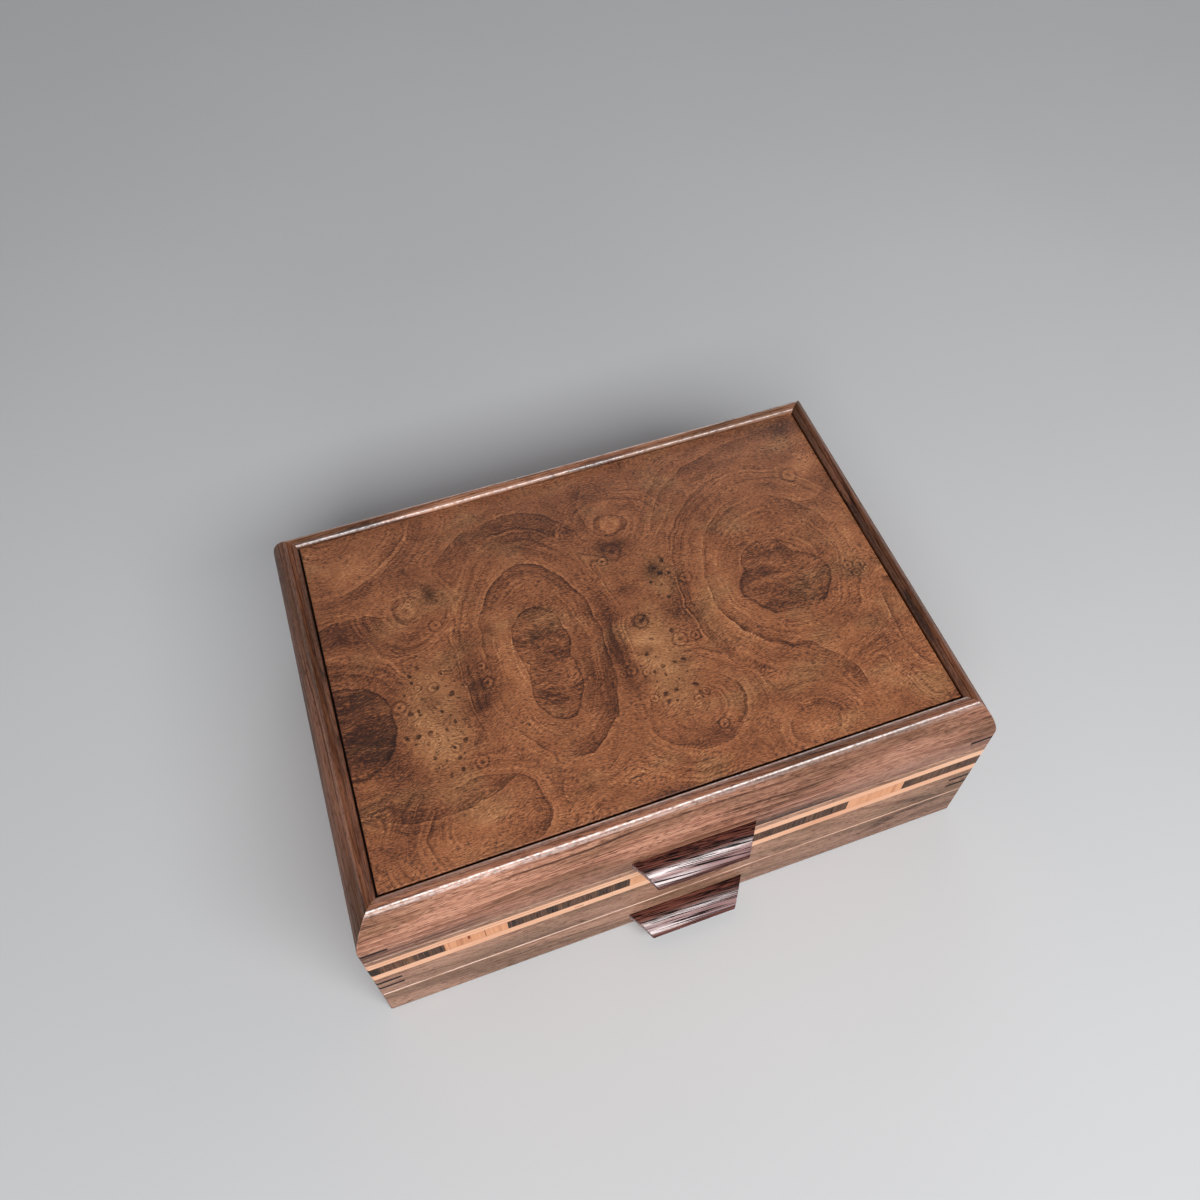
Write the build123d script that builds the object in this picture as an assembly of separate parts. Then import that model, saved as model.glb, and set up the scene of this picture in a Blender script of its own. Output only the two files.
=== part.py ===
from build123d import *
import math
import os

# Cufflink box with a lift-up lid over a tray of cells, and a drawer below. Millimetres, +Z up.
# The origin is on the floor under the middle of the case. The front, with both handles, faces -Y.

# Driving dimensions of the whole box
WIDTH = 270.0
DEPTH = 190.0
HEIGHT = 101.0
WALL = 12.7
CORNER_EASE = 1.2

# Heights of the splits between the case, the lid and the drawer
LID_SPLIT = 71.0
LID_GAP = 0.2
DRAWER_SPLIT = 25.0
DRAWER_GAP = 0.5
FLOOR_GAP = 0.5

# Lid frame: a vertical foot, a shoulder of one arc, a narrow flat, a quirk and a bead beside the panel
SHOULDER_START = 79.4
SHOULDER_RADIUS = 32.5
FRAME_TOP_WIDTH = 4.5
BEAD_RADIUS = 1.9
QUIRK = 0.5
EDGE_EASE = 0.4
PANEL_TOP = 99.2
PANEL_SHADOW_GAP = 1.2
PANEL_TONGUE = (91.0, 95.0)
TONGUE_DEPTH = 4.0

# Inlaid band of the case
BAND_BOTTOM = 47.4
BLOCKS_BOTTOM = 53.1
BLOCKS_TOP = 61.5
BAND_TOP = 66.8
INLAY_DEPTH = 3.0
LONG_BAND_EDGES = (-135.0, -130.6, -104.5, -78.7, -27.0, 18.5, 71.0, 97.3, 135.0)
LONG_BAND_WOODS = ("wenge", "wenge", "maple", "wenge", "maple", "wenge", "maple", "wenge")
SHORT_BAND_EDGES = (-95.0, -70.5, -44.5, -22.5, 22.5, 44.5, 70.5, 95.0)
SHORT_BAND_WOODS = ("wenge", "maple", "wenge", "maple", "wenge", "maple", "wenge")

# Keys let in across the mitres
KEY_LEG = 11.0
KEY_THICKNESS = 1.6
LID_KEY_LEVELS = (79.5,)
CASE_KEY_LEVELS = (34.5, 41.3)

# Panels of the case: the base in a rebate under cloth, the tray floor in a groove
REBATE_DEPTH = 6.0
BASE_THICKNESS = 3.0
BAIZE_THICKNESS = 0.9
GROOVE_DEPTH = 3.0
TRAY_FLOOR_BOTTOM = 27.0
TRAY_FLOOR_THICKNESS = 4.0
LINING_THICKNESS = 1.0
LINING_EASE = 0.5

# Liner and dividers of the tray
LINER_THICKNESS = 4.0
LINER_TOP = 75.0
LINER_RELIEF = 0.4
RELIEF_DEPTH = 1.0
LINER_EASE = 1.0
DIVIDER_THICKNESS = 4.0
DIVIDER_TOP = 66.0
DIVIDER_EASE = 0.8
CELLS_ACROSS = 6
CELLS_DEEP = 4

# Hinges, with their axis inside the back face where two bevels meet
HINGE_INSET = 3.0
BEVEL_ANGLE = 47.6
HINGE_PLACES = (-78.0, 78.0)
HINGE_LENGTH = 32.0
LEAF_REACH = 8.0
LEAF_THICKNESS = 1.3
BARREL_RADIUS = 2.4
BARREL_CLEARANCE = 0.35
PIN_RADIUS = 0.9
PIN_CLEARANCE = 0.05
KNUCKLES = 5
KNUCKLE_GAP = 0.15
KNUCKLE_ROOT = 0.5
POCKET_EASE = 0.1
HINGE_SCREW_PITCH = 11.0
HINGE_SCREW_INSET = 5.2

# Countersunk screws: shank radius, head radius and length, and the slot across the head
HINGE_SCREW = (1.0, 1.9, 8.0)
HANDLE_SCREW = (1.1, 2.2, 17.7)
STOP_SCREW = (1.0, 2.0, 9.0)
SLOT_WIDTH = 0.5
SLOT_DEPTH = 0.5

# Handles, both alike: a drooping lip on a thin root, with slanted ends. The section's points are
# (out from the box's face, down from the handle's top edge)
HANDLE_BACK_HALF = 26.6
HANDLE_FRONT_HALF = 19.2
HANDLE_REACH = 11.5
HANDLE_ROOT = 4.2
HANDLE_CROWN_MIDDLE = (6.9, 1.35)
HANDLE_NOSE_TOP = (11.2, 5.0)
HANDLE_NOSE_TIP = (11.45, 5.85)
HANDLE_NOSE_BOTTOM = (10.75, 6.6)
HANDLE_HOLLOW_MIDDLE = (6.4, 4.25)
LID_HANDLE_TOP = 78.5
DRAWER_HANDLE_TOP = 13.2
HANDLE_SCREW_PITCH = 30.0
HANDLE_SCREW_DROP = 2.2

# Drawer
DRAWER_CLEARANCE = 0.4
MITRE_GAP = 0.35
DRAWER_SIDE = 6.0
DRAWER_SIDE_BOTTOM = 4.3
DRAWER_SIDE_TOP = 23.6
DRAWER_EASE = 0.6
DRAWER_BOTTOM_LEVEL = 5.5
DRAWER_BOTTOM_THICKNESS = 2.5
DRAWER_END = 78.0
DRAWER_DIVIDER_TOP = 20.0
DRAWER_DIVIDER_PLACES = (-38.7, 38.7)
DRAWER_TRAVEL = 115.0
STOP_WIDTH = 24.0
STOP_LENGTH = 11.0
STOP_BOTTOM = 20.6
STOP_CLEARANCE = 0.4
TAIL_TOP = 22.6

# Worked out from the driving dimensions
HALF_X = WIDTH / 2 - WALL
HALF_Y = DEPTH / 2 - WALL
CASE_TOP = LID_SPLIT - LID_GAP / 2
LID_BOTTOM = LID_SPLIT + LID_GAP / 2
RAIL_BOTTOM = DRAWER_SPLIT + DRAWER_GAP / 2
DRAWER_FRONT_TOP = DRAWER_SPLIT - DRAWER_GAP / 2
TRAY_FLOOR_TOP = TRAY_FLOOR_BOTTOM + TRAY_FLOOR_THICKNESS
TRAY_LINING_TOP = TRAY_FLOOR_TOP + LINING_THICKNESS
TRAY_X = HALF_X - LINER_THICKNESS
TRAY_Y = HALF_Y - LINER_THICKNESS
AXIS_Y = DEPTH / 2 - HINGE_INSET
DRAWER_X = HALF_X - DRAWER_CLEARANCE
DRAWER_BOTTOM_TOP = DRAWER_BOTTOM_LEVEL + DRAWER_BOTTOM_THICKNESS
MARGIN = 20.0
WEDGE_INSET = 40.0

# Each side's turn about +Z from the front, its reach from the middle and its half length inside the walls
SIDES = {
    "front": (0, HALF_Y, HALF_X),
    "right": (90, HALF_X, HALF_Y),
    "back": (180, HALF_Y, HALF_X),
    "left": (270, HALF_X, HALF_Y),
}


def span(x0, x1, y0, y1, z0, z1):
    """A straight block between two opposite corners."""
    centre = Pos((x0 + x1) / 2, (y0 + y1) / 2, (z0 + z1) / 2)
    return centre * Box(x1 - x0, y1 - y0, z1 - z0)


def middle_span(half_x, half_y, z0, z1):
    """A block centred on the Z axis."""
    return span(-half_x, half_x, -half_y, half_y, z0, z1)


def along_x(curves, x0, x1):
    """A prism along X from closed curves drawn in the YZ plane as (y, z)."""
    face = make_face(Plane.YZ * curves)
    return extrude(Pos(x0, 0, 0) * face, amount=x1 - x0, dir=(1, 0, 0))


def mitre_wedge(side):
    """The space that the side's board may fill, cut at 45 degrees at both ends."""
    turn, reach, half = SIDES[side]
    points = [
        (-(half - WEDGE_INSET), -(reach - WEDGE_INSET)),
        (half - WEDGE_INSET, -(reach - WEDGE_INSET)),
        (half + MARGIN, -(reach + MARGIN)),
        (-(half + MARGIN), -(reach + MARGIN)),
    ]
    plan = make_face(Polyline(*points, close=True))
    return Rot(0, 0, turn) * extrude(Pos(0, 0, -MARGIN) * plan, amount=HEIGHT + 2 * MARGIN)


def envelope():
    """The box's outer block, with its upright corners eased."""
    return extrude(RectangleRounded(WIDTH, DEPTH, CORNER_EASE), amount=HEIGHT + MARGIN)


def ring_piece(side, b0, b1, z0, z1):
    """A mitred strip of one side, from b0 to b1 outwards of the wall's inner face."""
    turn, reach, half = SIDES[side]
    strip = span(-(half + MARGIN), half + MARGIN, -(reach + b1), -(reach + b0), z0, z1)
    return Rot(0, 0, turn) * strip & mitre_wedge(side)


def wall_board(side, z0, z1):
    """A mitred board of the wall's thickness, its two outer edges eased."""
    turn, reach, half = SIDES[side]
    inner = -reach
    outer = -(reach + WALL)
    profile = Polyline(
        (inner, z0),
        (outer + EDGE_EASE, z0),
        (outer, z0 + EDGE_EASE),
        (outer, z1 - EDGE_EASE),
        (outer + EDGE_EASE, z1),
        (inner, z1),
        close=True,
    )
    board = along_x(profile, -(half + MARGIN), half + MARGIN)
    return Rot(0, 0, turn) * board & mitre_wedge(side) & envelope()


def shoulder_point(reach, angle):
    """A point of the lid's shoulder, at an angle above the level of the arc's centre."""
    centre = reach + WALL - SHOULDER_RADIUS
    y = -(centre + SHOULDER_RADIUS * math.cos(angle))
    return (y, SHOULDER_START + SHOULDER_RADIUS * math.sin(angle))


def lid_rail_blank(side):
    """One rail of the lid frame before its grooves: shoulder, eased arris, flat, quirk and bead."""
    turn, reach, half = SIDES[side]
    full = math.asin((HEIGHT - SHOULDER_START) / SHOULDER_RADIUS)
    top = full - EDGE_EASE / SHOULDER_RADIUS
    shoulder = ThreePointArc(
        shoulder_point(reach, top), shoulder_point(reach, top / 2), shoulder_point(reach, 0)
    )
    outer = -(reach + WALL)
    foot = Polyline(
        shoulder_point(reach, 0),
        (outer, LID_BOTTOM + EDGE_EASE),
        (outer + EDGE_EASE, LID_BOTTOM),
        (-reach, LID_BOTTOM),
        (-reach, HEIGHT - BEAD_RADIUS),
    )
    bead_middle = BEAD_RADIUS * (1 - math.sqrt(0.5))
    bead = ThreePointArc(
        (-reach, HEIGHT - BEAD_RADIUS),
        (-(reach + bead_middle), HEIGHT - bead_middle),
        (-(reach + BEAD_RADIUS), HEIGHT),
    )
    crown = Polyline(
        (-(reach + BEAD_RADIUS), HEIGHT),
        (-(reach + BEAD_RADIUS), HEIGHT - QUIRK),
        (-(reach + BEAD_RADIUS + QUIRK), HEIGHT - QUIRK),
        (-(reach + BEAD_RADIUS + QUIRK), HEIGHT),
        (-(reach + FRAME_TOP_WIDTH - EDGE_EASE), HEIGHT),
        shoulder_point(reach, top),
    )
    length = half + MARGIN
    rail = along_x(Curve() + [shoulder, foot, bead, crown], -length, length)
    return Rot(0, 0, turn) * rail & mitre_wedge(side) & envelope()


def corner_key(corner_x, corner_y, level):
    """A three-cornered key let in across one upright corner."""
    x = corner_x * WIDTH / 2
    y = corner_y * DEPTH / 2
    points = [(x, y), (x - corner_x * KEY_LEG, y), (x, y - corner_y * KEY_LEG)]
    plan = make_face(Polyline(*points, close=True))
    bottom = level - KEY_THICKNESS / 2
    return extrude(Pos(0, 0, bottom) * plan, amount=KEY_THICKNESS, dir=(0, 0, 1)) & envelope()


def corner_keys(levels):
    """The keys of all four corners at the given levels."""
    corners = [(-1, -1), (1, -1), (1, 1), (-1, 1)]
    return [corner_key(x, y, level) for level in levels for x, y in corners]


def back_bevels():
    """The notch along the back that the lid closes as it opens, with its apex on the hinge axis."""
    rise = MARGIN * math.tan(math.radians(BEVEL_ANGLE))
    notch = Polyline(
        (AXIS_Y, LID_SPLIT),
        (AXIS_Y + MARGIN, LID_SPLIT - rise),
        (AXIS_Y + MARGIN, LID_SPLIT + rise),
        close=True,
    )
    return along_x(notch, -WIDTH, WIDTH)


def rod_x(radius, x0, x1):
    """A round bar on the hinge axis."""
    return Pos((x0 + x1) / 2, AXIS_Y, LID_SPLIT) * Rot(0, 90, 0) * Cylinder(radius, x1 - x0)


def hinge_pocket(place):
    """The room for one hinge's leaves and barrel in both rims."""
    x0 = place - HINGE_LENGTH / 2 - POCKET_EASE
    x1 = place + HINGE_LENGTH / 2 + POCKET_EASE
    depth = LEAF_THICKNESS + LID_GAP / 2
    inner = AXIS_Y - LEAF_REACH - POCKET_EASE
    leaf = span(x0, x1, inner, AXIS_Y, LID_SPLIT - depth, LID_SPLIT + depth)
    return leaf + rod_x(BARREL_RADIUS + BARREL_CLEARANCE, x0, x1)


def knuckle_spans(place, first):
    """The stretches of every second knuckle, from the first or the second one on."""
    pitch = HINGE_LENGTH / KNUCKLES
    start = place - HINGE_LENGTH / 2
    return [
        (start + i * pitch + KNUCKLE_GAP / 2, start + (i + 1) * pitch - KNUCKLE_GAP / 2)
        for i in range(first, KNUCKLES, 2)
    ]


def hinge_leaf(place, first, up):
    """One leaf with its knuckles: up is 1 for the lid's leaf and -1 for the case's."""
    near = LID_SPLIT + up * LID_GAP / 2
    far = LID_SPLIT + up * (LID_GAP / 2 + LEAF_THICKNESS)
    half = HINGE_LENGTH / 2
    inner = AXIS_Y - LEAF_REACH
    clear = AXIS_Y - BARREL_RADIUS - BARREL_CLEARANCE
    low, high = min(near, far), max(near, far)
    leaf = span(place - half, place + half, inner, clear, low, high)
    for x0, x1 in knuckle_spans(place, first):
        leaf += span(x0, x1, clear - KNUCKLE_ROOT, AXIS_Y, low, high)
        leaf += rod_x(BARREL_RADIUS, x0, x1)
    leaf -= rod_x(PIN_RADIUS + PIN_CLEARANCE, place - half, place + half)
    return minus(leaf, screw_holes(hinge_screw_places(up), HINGE_SCREW))


def screw_form(radius, head_radius, length):
    """A countersunk screw that points down, its head flush with the level z = 0."""
    top = (Align.CENTER, Align.CENTER, Align.MAX)
    head = Cone(radius, head_radius, head_radius - radius, align=top)
    return head + Cylinder(radius, length, align=top)


def screw_holes(places, size):
    """The room that the screws fill, to be taken out of what they hold."""
    return [place * screw_form(*size) for place in places]


def screws(places, size):
    """The screws themselves, slotted across the head."""
    slot = Box(3 * size[1], SLOT_WIDTH, 2 * SLOT_DEPTH)
    return [place * (screw_form(*size) - slot) for place in places]


def hinge_screw_places(up):
    """Where the screws of both hinges' leaves go: up is 1 for the lid and -1 for the case."""
    y = AXIS_Y - HINGE_SCREW_INSET
    face = LID_SPLIT + up * LID_GAP / 2
    turn = 0 if up < 0 else 180
    steps = (-HINGE_SCREW_PITCH, 0, HINGE_SCREW_PITCH)
    return [Pos(place + step, y, face) * Rot(turn, 0, 0) for place in HINGE_PLACES for step in steps]


def handle_screw_places(top):
    """Where the screws go from inside the front into a handle's root."""
    level = top - HANDLE_SCREW_DROP
    half = HANDLE_SCREW_PITCH / 2
    return [Pos(x, -HALF_Y, level) * Rot(-90, 0, 0) for x in (-half, half)]


def handle(top):
    """A lip that droops from a thin root, hollow below for the fingers, with its ends slanted."""
    face_y = -DEPTH / 2

    def at(point):
        return (face_y - point[0], top - point[1])

    crown = ThreePointArc(at((0, 0)), at(HANDLE_CROWN_MIDDLE), at(HANDLE_NOSE_TOP))
    nose = ThreePointArc(at(HANDLE_NOSE_TOP), at(HANDLE_NOSE_TIP), at(HANDLE_NOSE_BOTTOM))
    hollow = ThreePointArc(at(HANDLE_NOSE_BOTTOM), at(HANDLE_HOLLOW_MIDDLE), at((0, HANDLE_ROOT)))
    root = Line(at((0, HANDLE_ROOT)), at((0, 0)))
    bar = along_x(Curve() + [crown, nose, hollow, root], -HANDLE_BACK_HALF, HANDLE_BACK_HALF)
    outline = Polyline(
        (-HANDLE_BACK_HALF, face_y),
        (HANDLE_BACK_HALF, face_y),
        (HANDLE_FRONT_HALF, face_y - HANDLE_REACH),
        (-HANDLE_FRONT_HALF, face_y - HANDLE_REACH),
        close=True,
    )
    return bar & extrude(make_face(outline), amount=HEIGHT, dir=(0, 0, 1))


def minus(shape, cutters):
    """The shape with every cutter taken out."""
    for cutter in cutters:
        shape -= cutter
    return shape


def case_walls():
    """The four mitred boards of the case, grooved for panels, band, keys and hinges."""
    band = {side: ring_piece(side, WALL - INLAY_DEPTH, WALL + 1, BAND_BOTTOM, BAND_TOP) for side in SIDES}
    keys = corner_keys(CASE_KEY_LEVELS)
    pockets = [hinge_pocket(place) for place in HINGE_PLACES]
    holes = screw_holes(hinge_screw_places(-1), HINGE_SCREW)
    walls = {}
    for side in SIDES:
        bottom = RAIL_BOTTOM if side == "front" else 0.0
        board = wall_board(side, bottom, CASE_TOP)
        board = minus(board, [band[side], tray_floor(), base_panel(), base_baize(), back_bevels()] + keys)
        if side == "back":
            board = minus(board, pockets + holes)
        walls[side] = board
    return walls


def tray_floor():
    """The panel between the tray and the drawer bay."""
    half_x = HALF_X + GROOVE_DEPTH
    half_y = HALF_Y + GROOVE_DEPTH
    return middle_span(half_x, half_y, TRAY_FLOOR_BOTTOM, TRAY_FLOOR_TOP)


def base_panel():
    """The panel that the drawer runs on, let into the walls from below."""
    front = -HALF_Y + DRAWER_CLEARANCE
    side = HALF_X + REBATE_DEPTH
    top = BAIZE_THICKNESS + BASE_THICKNESS
    return span(-side, side, front, HALF_Y + REBATE_DEPTH, BAIZE_THICKNESS, top)


def base_baize():
    """The cloth glued under the base panel, flush with the feet of the walls."""
    front = -HALF_Y + DRAWER_CLEARANCE
    side = HALF_X + REBATE_DEPTH
    return span(-side, side, front, HALF_Y + REBATE_DEPTH, 0, BAIZE_THICKNESS)


def band_lines(side):
    """The two light lines of one side."""
    lower = ring_piece(side, WALL - INLAY_DEPTH, WALL, BAND_BOTTOM, BLOCKS_BOTTOM)
    upper = ring_piece(side, WALL - INLAY_DEPTH, WALL, BLOCKS_TOP, BAND_TOP)
    return [lower & envelope(), upper & envelope()]


def band_blocks(side, wood):
    """The blocks of one wood between the two lines of one side."""
    turn, reach, half = SIDES[side]
    long_side = side in ("front", "back")
    edges = LONG_BAND_EDGES if long_side else SHORT_BAND_EDGES
    woods = LONG_BAND_WOODS if long_side else SHORT_BAND_WOODS
    course = ring_piece(side, WALL - INLAY_DEPTH, WALL, BLOCKS_BOTTOM, BLOCKS_TOP) & envelope()
    blocks = []
    for start, end, name in zip(edges, edges[1:], woods):
        if name == wood:
            slot = span(start, end, -(reach + WALL + 1), -reach, BLOCKS_BOTTOM, BLOCKS_TOP)
            blocks.append(course & Rot(0, 0, turn) * slot)
    return blocks


def liner(side):
    """One thin strip inside the wall, relieved and eased above the rim to guide the lid."""
    turn, reach, half = SIDES[side]
    outer = -reach
    inner = -(reach - LINER_THICKNESS)
    profile = Polyline(
        (outer, TRAY_FLOOR_TOP),
        (inner, TRAY_FLOOR_TOP),
        (inner, LINER_TOP - LINER_EASE),
        (inner - LINER_EASE, LINER_TOP),
        (outer + LINER_RELIEF + LINER_EASE, LINER_TOP),
        (outer + LINER_RELIEF, LINER_TOP - LINER_EASE),
        (outer + LINER_RELIEF, CASE_TOP - RELIEF_DEPTH),
        (outer, CASE_TOP - RELIEF_DEPTH),
        close=True,
    )
    strip = along_x(profile, -(half + MARGIN), half + MARGIN)
    return Rot(0, 0, turn) * strip & mitre_wedge(side)


def divider_places(half, cells):
    """The middles of the dividers that part a length into equal cells."""
    pitch = 2 * half / cells
    return [-half + pitch * i for i in range(1, cells)]


def divider(half, bottom, top):
    """A thin standing strip along X with its top edges eased."""
    side = DIVIDER_THICKNESS / 2
    profile = Polyline(
        (-side, bottom),
        (side, bottom),
        (side, top - DIVIDER_EASE),
        (side - DIVIDER_EASE, top),
        (-side + DIVIDER_EASE, top),
        (-side, top - DIVIDER_EASE),
        close=True,
    )
    return along_x(profile, -half, half)


def tray_dividers():
    """The long and the cross dividers, each notched to half its height where they cross."""
    columns = divider_places(TRAY_X, CELLS_ACROSS)
    rows = divider_places(TRAY_Y, CELLS_DEEP)
    half_height = (TRAY_LINING_TOP + DIVIDER_TOP) / 2
    notch = DIVIDER_THICKNESS / 2
    strips = {}
    for number, y in enumerate(rows, 1):
        strip = Pos(0, y, 0) * divider(TRAY_X, TRAY_LINING_TOP, DIVIDER_TOP)
        for x in columns:
            strip -= span(x - notch, x + notch, y - notch, y + notch, half_height, DIVIDER_TOP)
        strips[f"long_divider_{number}"] = strip
    for number, x in enumerate(columns, 1):
        strip = Pos(x, 0, 0) * Rot(0, 0, 90) * divider(TRAY_Y, TRAY_LINING_TOP, DIVIDER_TOP)
        for y in rows:
            strip -= span(x - notch, x + notch, y - notch, y + notch, TRAY_LINING_TOP, half_height)
        strips[f"cross_divider_{number}"] = strip
    return strips


def drawer_stop():
    """The block under the tray floor that the drawer's back meets when it is pulled out."""
    tail = DRAWER_END - DRAWER_SIDE
    front = tail - DRAWER_TRAVEL - STOP_CLEARANCE
    return span(-STOP_WIDTH / 2, STOP_WIDTH / 2, front - STOP_LENGTH, front, STOP_BOTTOM, TRAY_FLOOR_BOTTOM)


def stop_screw_places():
    """Where the screw goes that holds the stop block up under the tray floor."""
    centre = drawer_stop().center()
    return [Pos(centre.X, centre.Y, STOP_BOTTOM) * Rot(180, 0, 0)]


def lid_rails():
    """The lid frame's four rails, grooved for the panel, keys, hinges and handle screws."""
    keys = corner_keys(LID_KEY_LEVELS)
    pockets = [hinge_pocket(place) for place in HINGE_PLACES]
    holes = screw_holes(hinge_screw_places(1), HINGE_SCREW)
    rails = {}
    for side in SIDES:
        rail = minus(lid_rail_blank(side), [panel_tongue(), back_bevels()] + keys)
        if side == "back":
            rail = minus(rail, pockets + holes)
        if side == "front":
            rail = minus(rail, screw_holes(handle_screw_places(LID_HANDLE_TOP), HANDLE_SCREW))
        rails[side] = rail
    return rails


def panel_tongue():
    """The thin edge of the lid panel that sits in the rails' grooves."""
    return middle_span(HALF_X + TONGUE_DEPTH, HALF_Y + TONGUE_DEPTH, *PANEL_TONGUE)


def lid_panel():
    """The burl panel: its tongue, and a field raised almost to the frame's top."""
    field = middle_span(HALF_X - PANEL_SHADOW_GAP, HALF_Y - PANEL_SHADOW_GAP, PANEL_TONGUE[1], PANEL_TOP)
    return panel_tongue() + chamfer(field.edges().group_by(Axis.Z)[-1], EDGE_EASE)


def lid_lining():
    """The suede under the lid panel, just inside the rails."""
    bottom = PANEL_TONGUE[0] - LINING_THICKNESS
    return middle_span(HALF_X - LINING_EASE, HALF_Y - LINING_EASE, bottom, PANEL_TONGUE[0])


def drawer_front():
    """The drawer's front, cut from the front board, with its ends mitred to the case's sides."""
    board = wall_board("front", FLOOR_GAP, DRAWER_FRONT_TOP)
    trimmed = board & Pos(0, -MITRE_GAP, 0) * mitre_wedge("front")
    holes = screw_holes(handle_screw_places(DRAWER_HANDLE_TOP), HANDLE_SCREW)
    return minus(trimmed, [drawer_bottom()] + holes)


def drawer_bottom():
    """The drawer's bottom panel, held in grooves on three sides and under the back."""
    side = DRAWER_X - DRAWER_SIDE / 2
    return span(-side, side, -HALF_Y - GROOVE_DEPTH, DRAWER_END, DRAWER_BOTTOM_LEVEL, DRAWER_BOTTOM_TOP)


def drawer_side(sign):
    """One side of the drawer, grooved for the bottom and let into the front by a tongue."""
    inner = sign * (DRAWER_X - DRAWER_SIDE)
    outer = sign * DRAWER_X
    low, high = min(inner, outer), max(inner, outer)
    board = span(low, high, -HALF_Y, DRAWER_END, DRAWER_SIDE_BOTTOM, DRAWER_SIDE_TOP)
    edges = board.edges().filter_by(Axis.Y).group_by(Axis.Z)[-1]
    return chamfer(edges, DRAWER_EASE) - drawer_bottom()


def drawer_back():
    """The drawer's back, standing on the bottom panel between the sides."""
    half = DRAWER_X - DRAWER_SIDE
    board = span(-half, half, DRAWER_END - DRAWER_SIDE, DRAWER_END, DRAWER_BOTTOM_TOP, TAIL_TOP)
    edges = board.edges().filter_by(Axis.X).group_by(Axis.Z)[-1]
    return chamfer(edges, DRAWER_EASE)


def drawer_lining():
    """The suede on the drawer's bottom."""
    half = DRAWER_X - DRAWER_SIDE
    top = DRAWER_BOTTOM_TOP + LINING_THICKNESS
    return span(-half, half, -HALF_Y, DRAWER_END - DRAWER_SIDE, DRAWER_BOTTOM_TOP, top)


def drawer_divider(x):
    """One divider from the drawer's front to its back."""
    bottom = DRAWER_BOTTOM_TOP + LINING_THICKNESS
    length = DRAWER_END - DRAWER_SIDE + HALF_Y
    middle = (DRAWER_END - DRAWER_SIDE - HALF_Y) / 2
    return Pos(x, middle, 0) * Rot(0, 0, 90) * divider(length / 2, bottom, DRAWER_DIVIDER_TOP)


def write(node, solids):
    """Writes one node's solids to its file."""
    pieces = solids if isinstance(solids, list) else [solids]
    bodies = [body for piece in pieces for body in piece.solids()]
    shape = bodies[0] if len(bodies) == 1 else Compound(children=bodies)
    export_step(shape, f"parts/{node}.step")


def main():
    os.makedirs("parts", exist_ok=True)

    walls = case_walls()
    write("case_front_rail", walls["front"])
    write("case_back", walls["back"])
    write("case_left_side", walls["left"])
    write("case_right_side", walls["right"])
    write("base_panel", base_panel())
    write("base_baize", base_baize())
    stop_holes = screw_holes(stop_screw_places(), STOP_SCREW)
    write("tray_floor", minus(tray_floor(), stop_holes))
    write("tray_lining", middle_span(TRAY_X, TRAY_Y, TRAY_FLOOR_TOP, TRAY_LINING_TOP))
    for side in SIDES:
        write(f"liner_{side}", liner(side))
        write(f"maple_lines_{side}", band_lines(side))
        write(f"wenge_blocks_{side}", band_blocks(side, "wenge"))
        write(f"maple_blocks_{side}", band_blocks(side, "maple"))
    for node, strip in tray_dividers().items():
        write(node, strip)
    write("case_spline_keys", corner_keys(CASE_KEY_LEVELS))
    write("drawer_stop", minus(drawer_stop(), stop_holes))
    write("drawer_stop_screw", screws(stop_screw_places(), STOP_SCREW))

    write("hinge_case_leaves", [hinge_leaf(place, 0, -1) for place in HINGE_PLACES])
    write("hinge_lid_leaves", [hinge_leaf(place, 1, 1) for place in HINGE_PLACES])
    half = HINGE_LENGTH / 2 - KNUCKLE_GAP
    write("hinge_pins", [rod_x(PIN_RADIUS, place - half, place + half) for place in HINGE_PLACES])
    write("hinge_case_screws", screws(hinge_screw_places(-1), HINGE_SCREW))
    write("hinge_lid_screws", screws(hinge_screw_places(1), HINGE_SCREW))

    for side, rail in lid_rails().items():
        write(f"lid_rail_{side}", rail)
    write("lid_panel", lid_panel())
    write("lid_lining", lid_lining())
    write("lid_spline_keys", corner_keys(LID_KEY_LEVELS))
    places = handle_screw_places(LID_HANDLE_TOP)
    write("lid_handle", minus(handle(LID_HANDLE_TOP), screw_holes(places, HANDLE_SCREW)))
    write("lid_handle_screws", screws(places, HANDLE_SCREW))

    write("drawer_front", drawer_front())
    write("drawer_left_side", drawer_side(-1))
    write("drawer_right_side", drawer_side(1))
    write("drawer_back", drawer_back())
    write("drawer_bottom", drawer_bottom())
    write("drawer_lining", drawer_lining())
    for number, x in enumerate(DRAWER_DIVIDER_PLACES, 1):
        write(f"drawer_divider_{number}", drawer_divider(x))
    places = handle_screw_places(DRAWER_HANDLE_TOP)
    write("drawer_handle", minus(handle(DRAWER_HANDLE_TOP), screw_holes(places, HANDLE_SCREW)))
    write("drawer_handle_screws", screws(places, HANDLE_SCREW))


main()
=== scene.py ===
import itertools
import math

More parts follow.
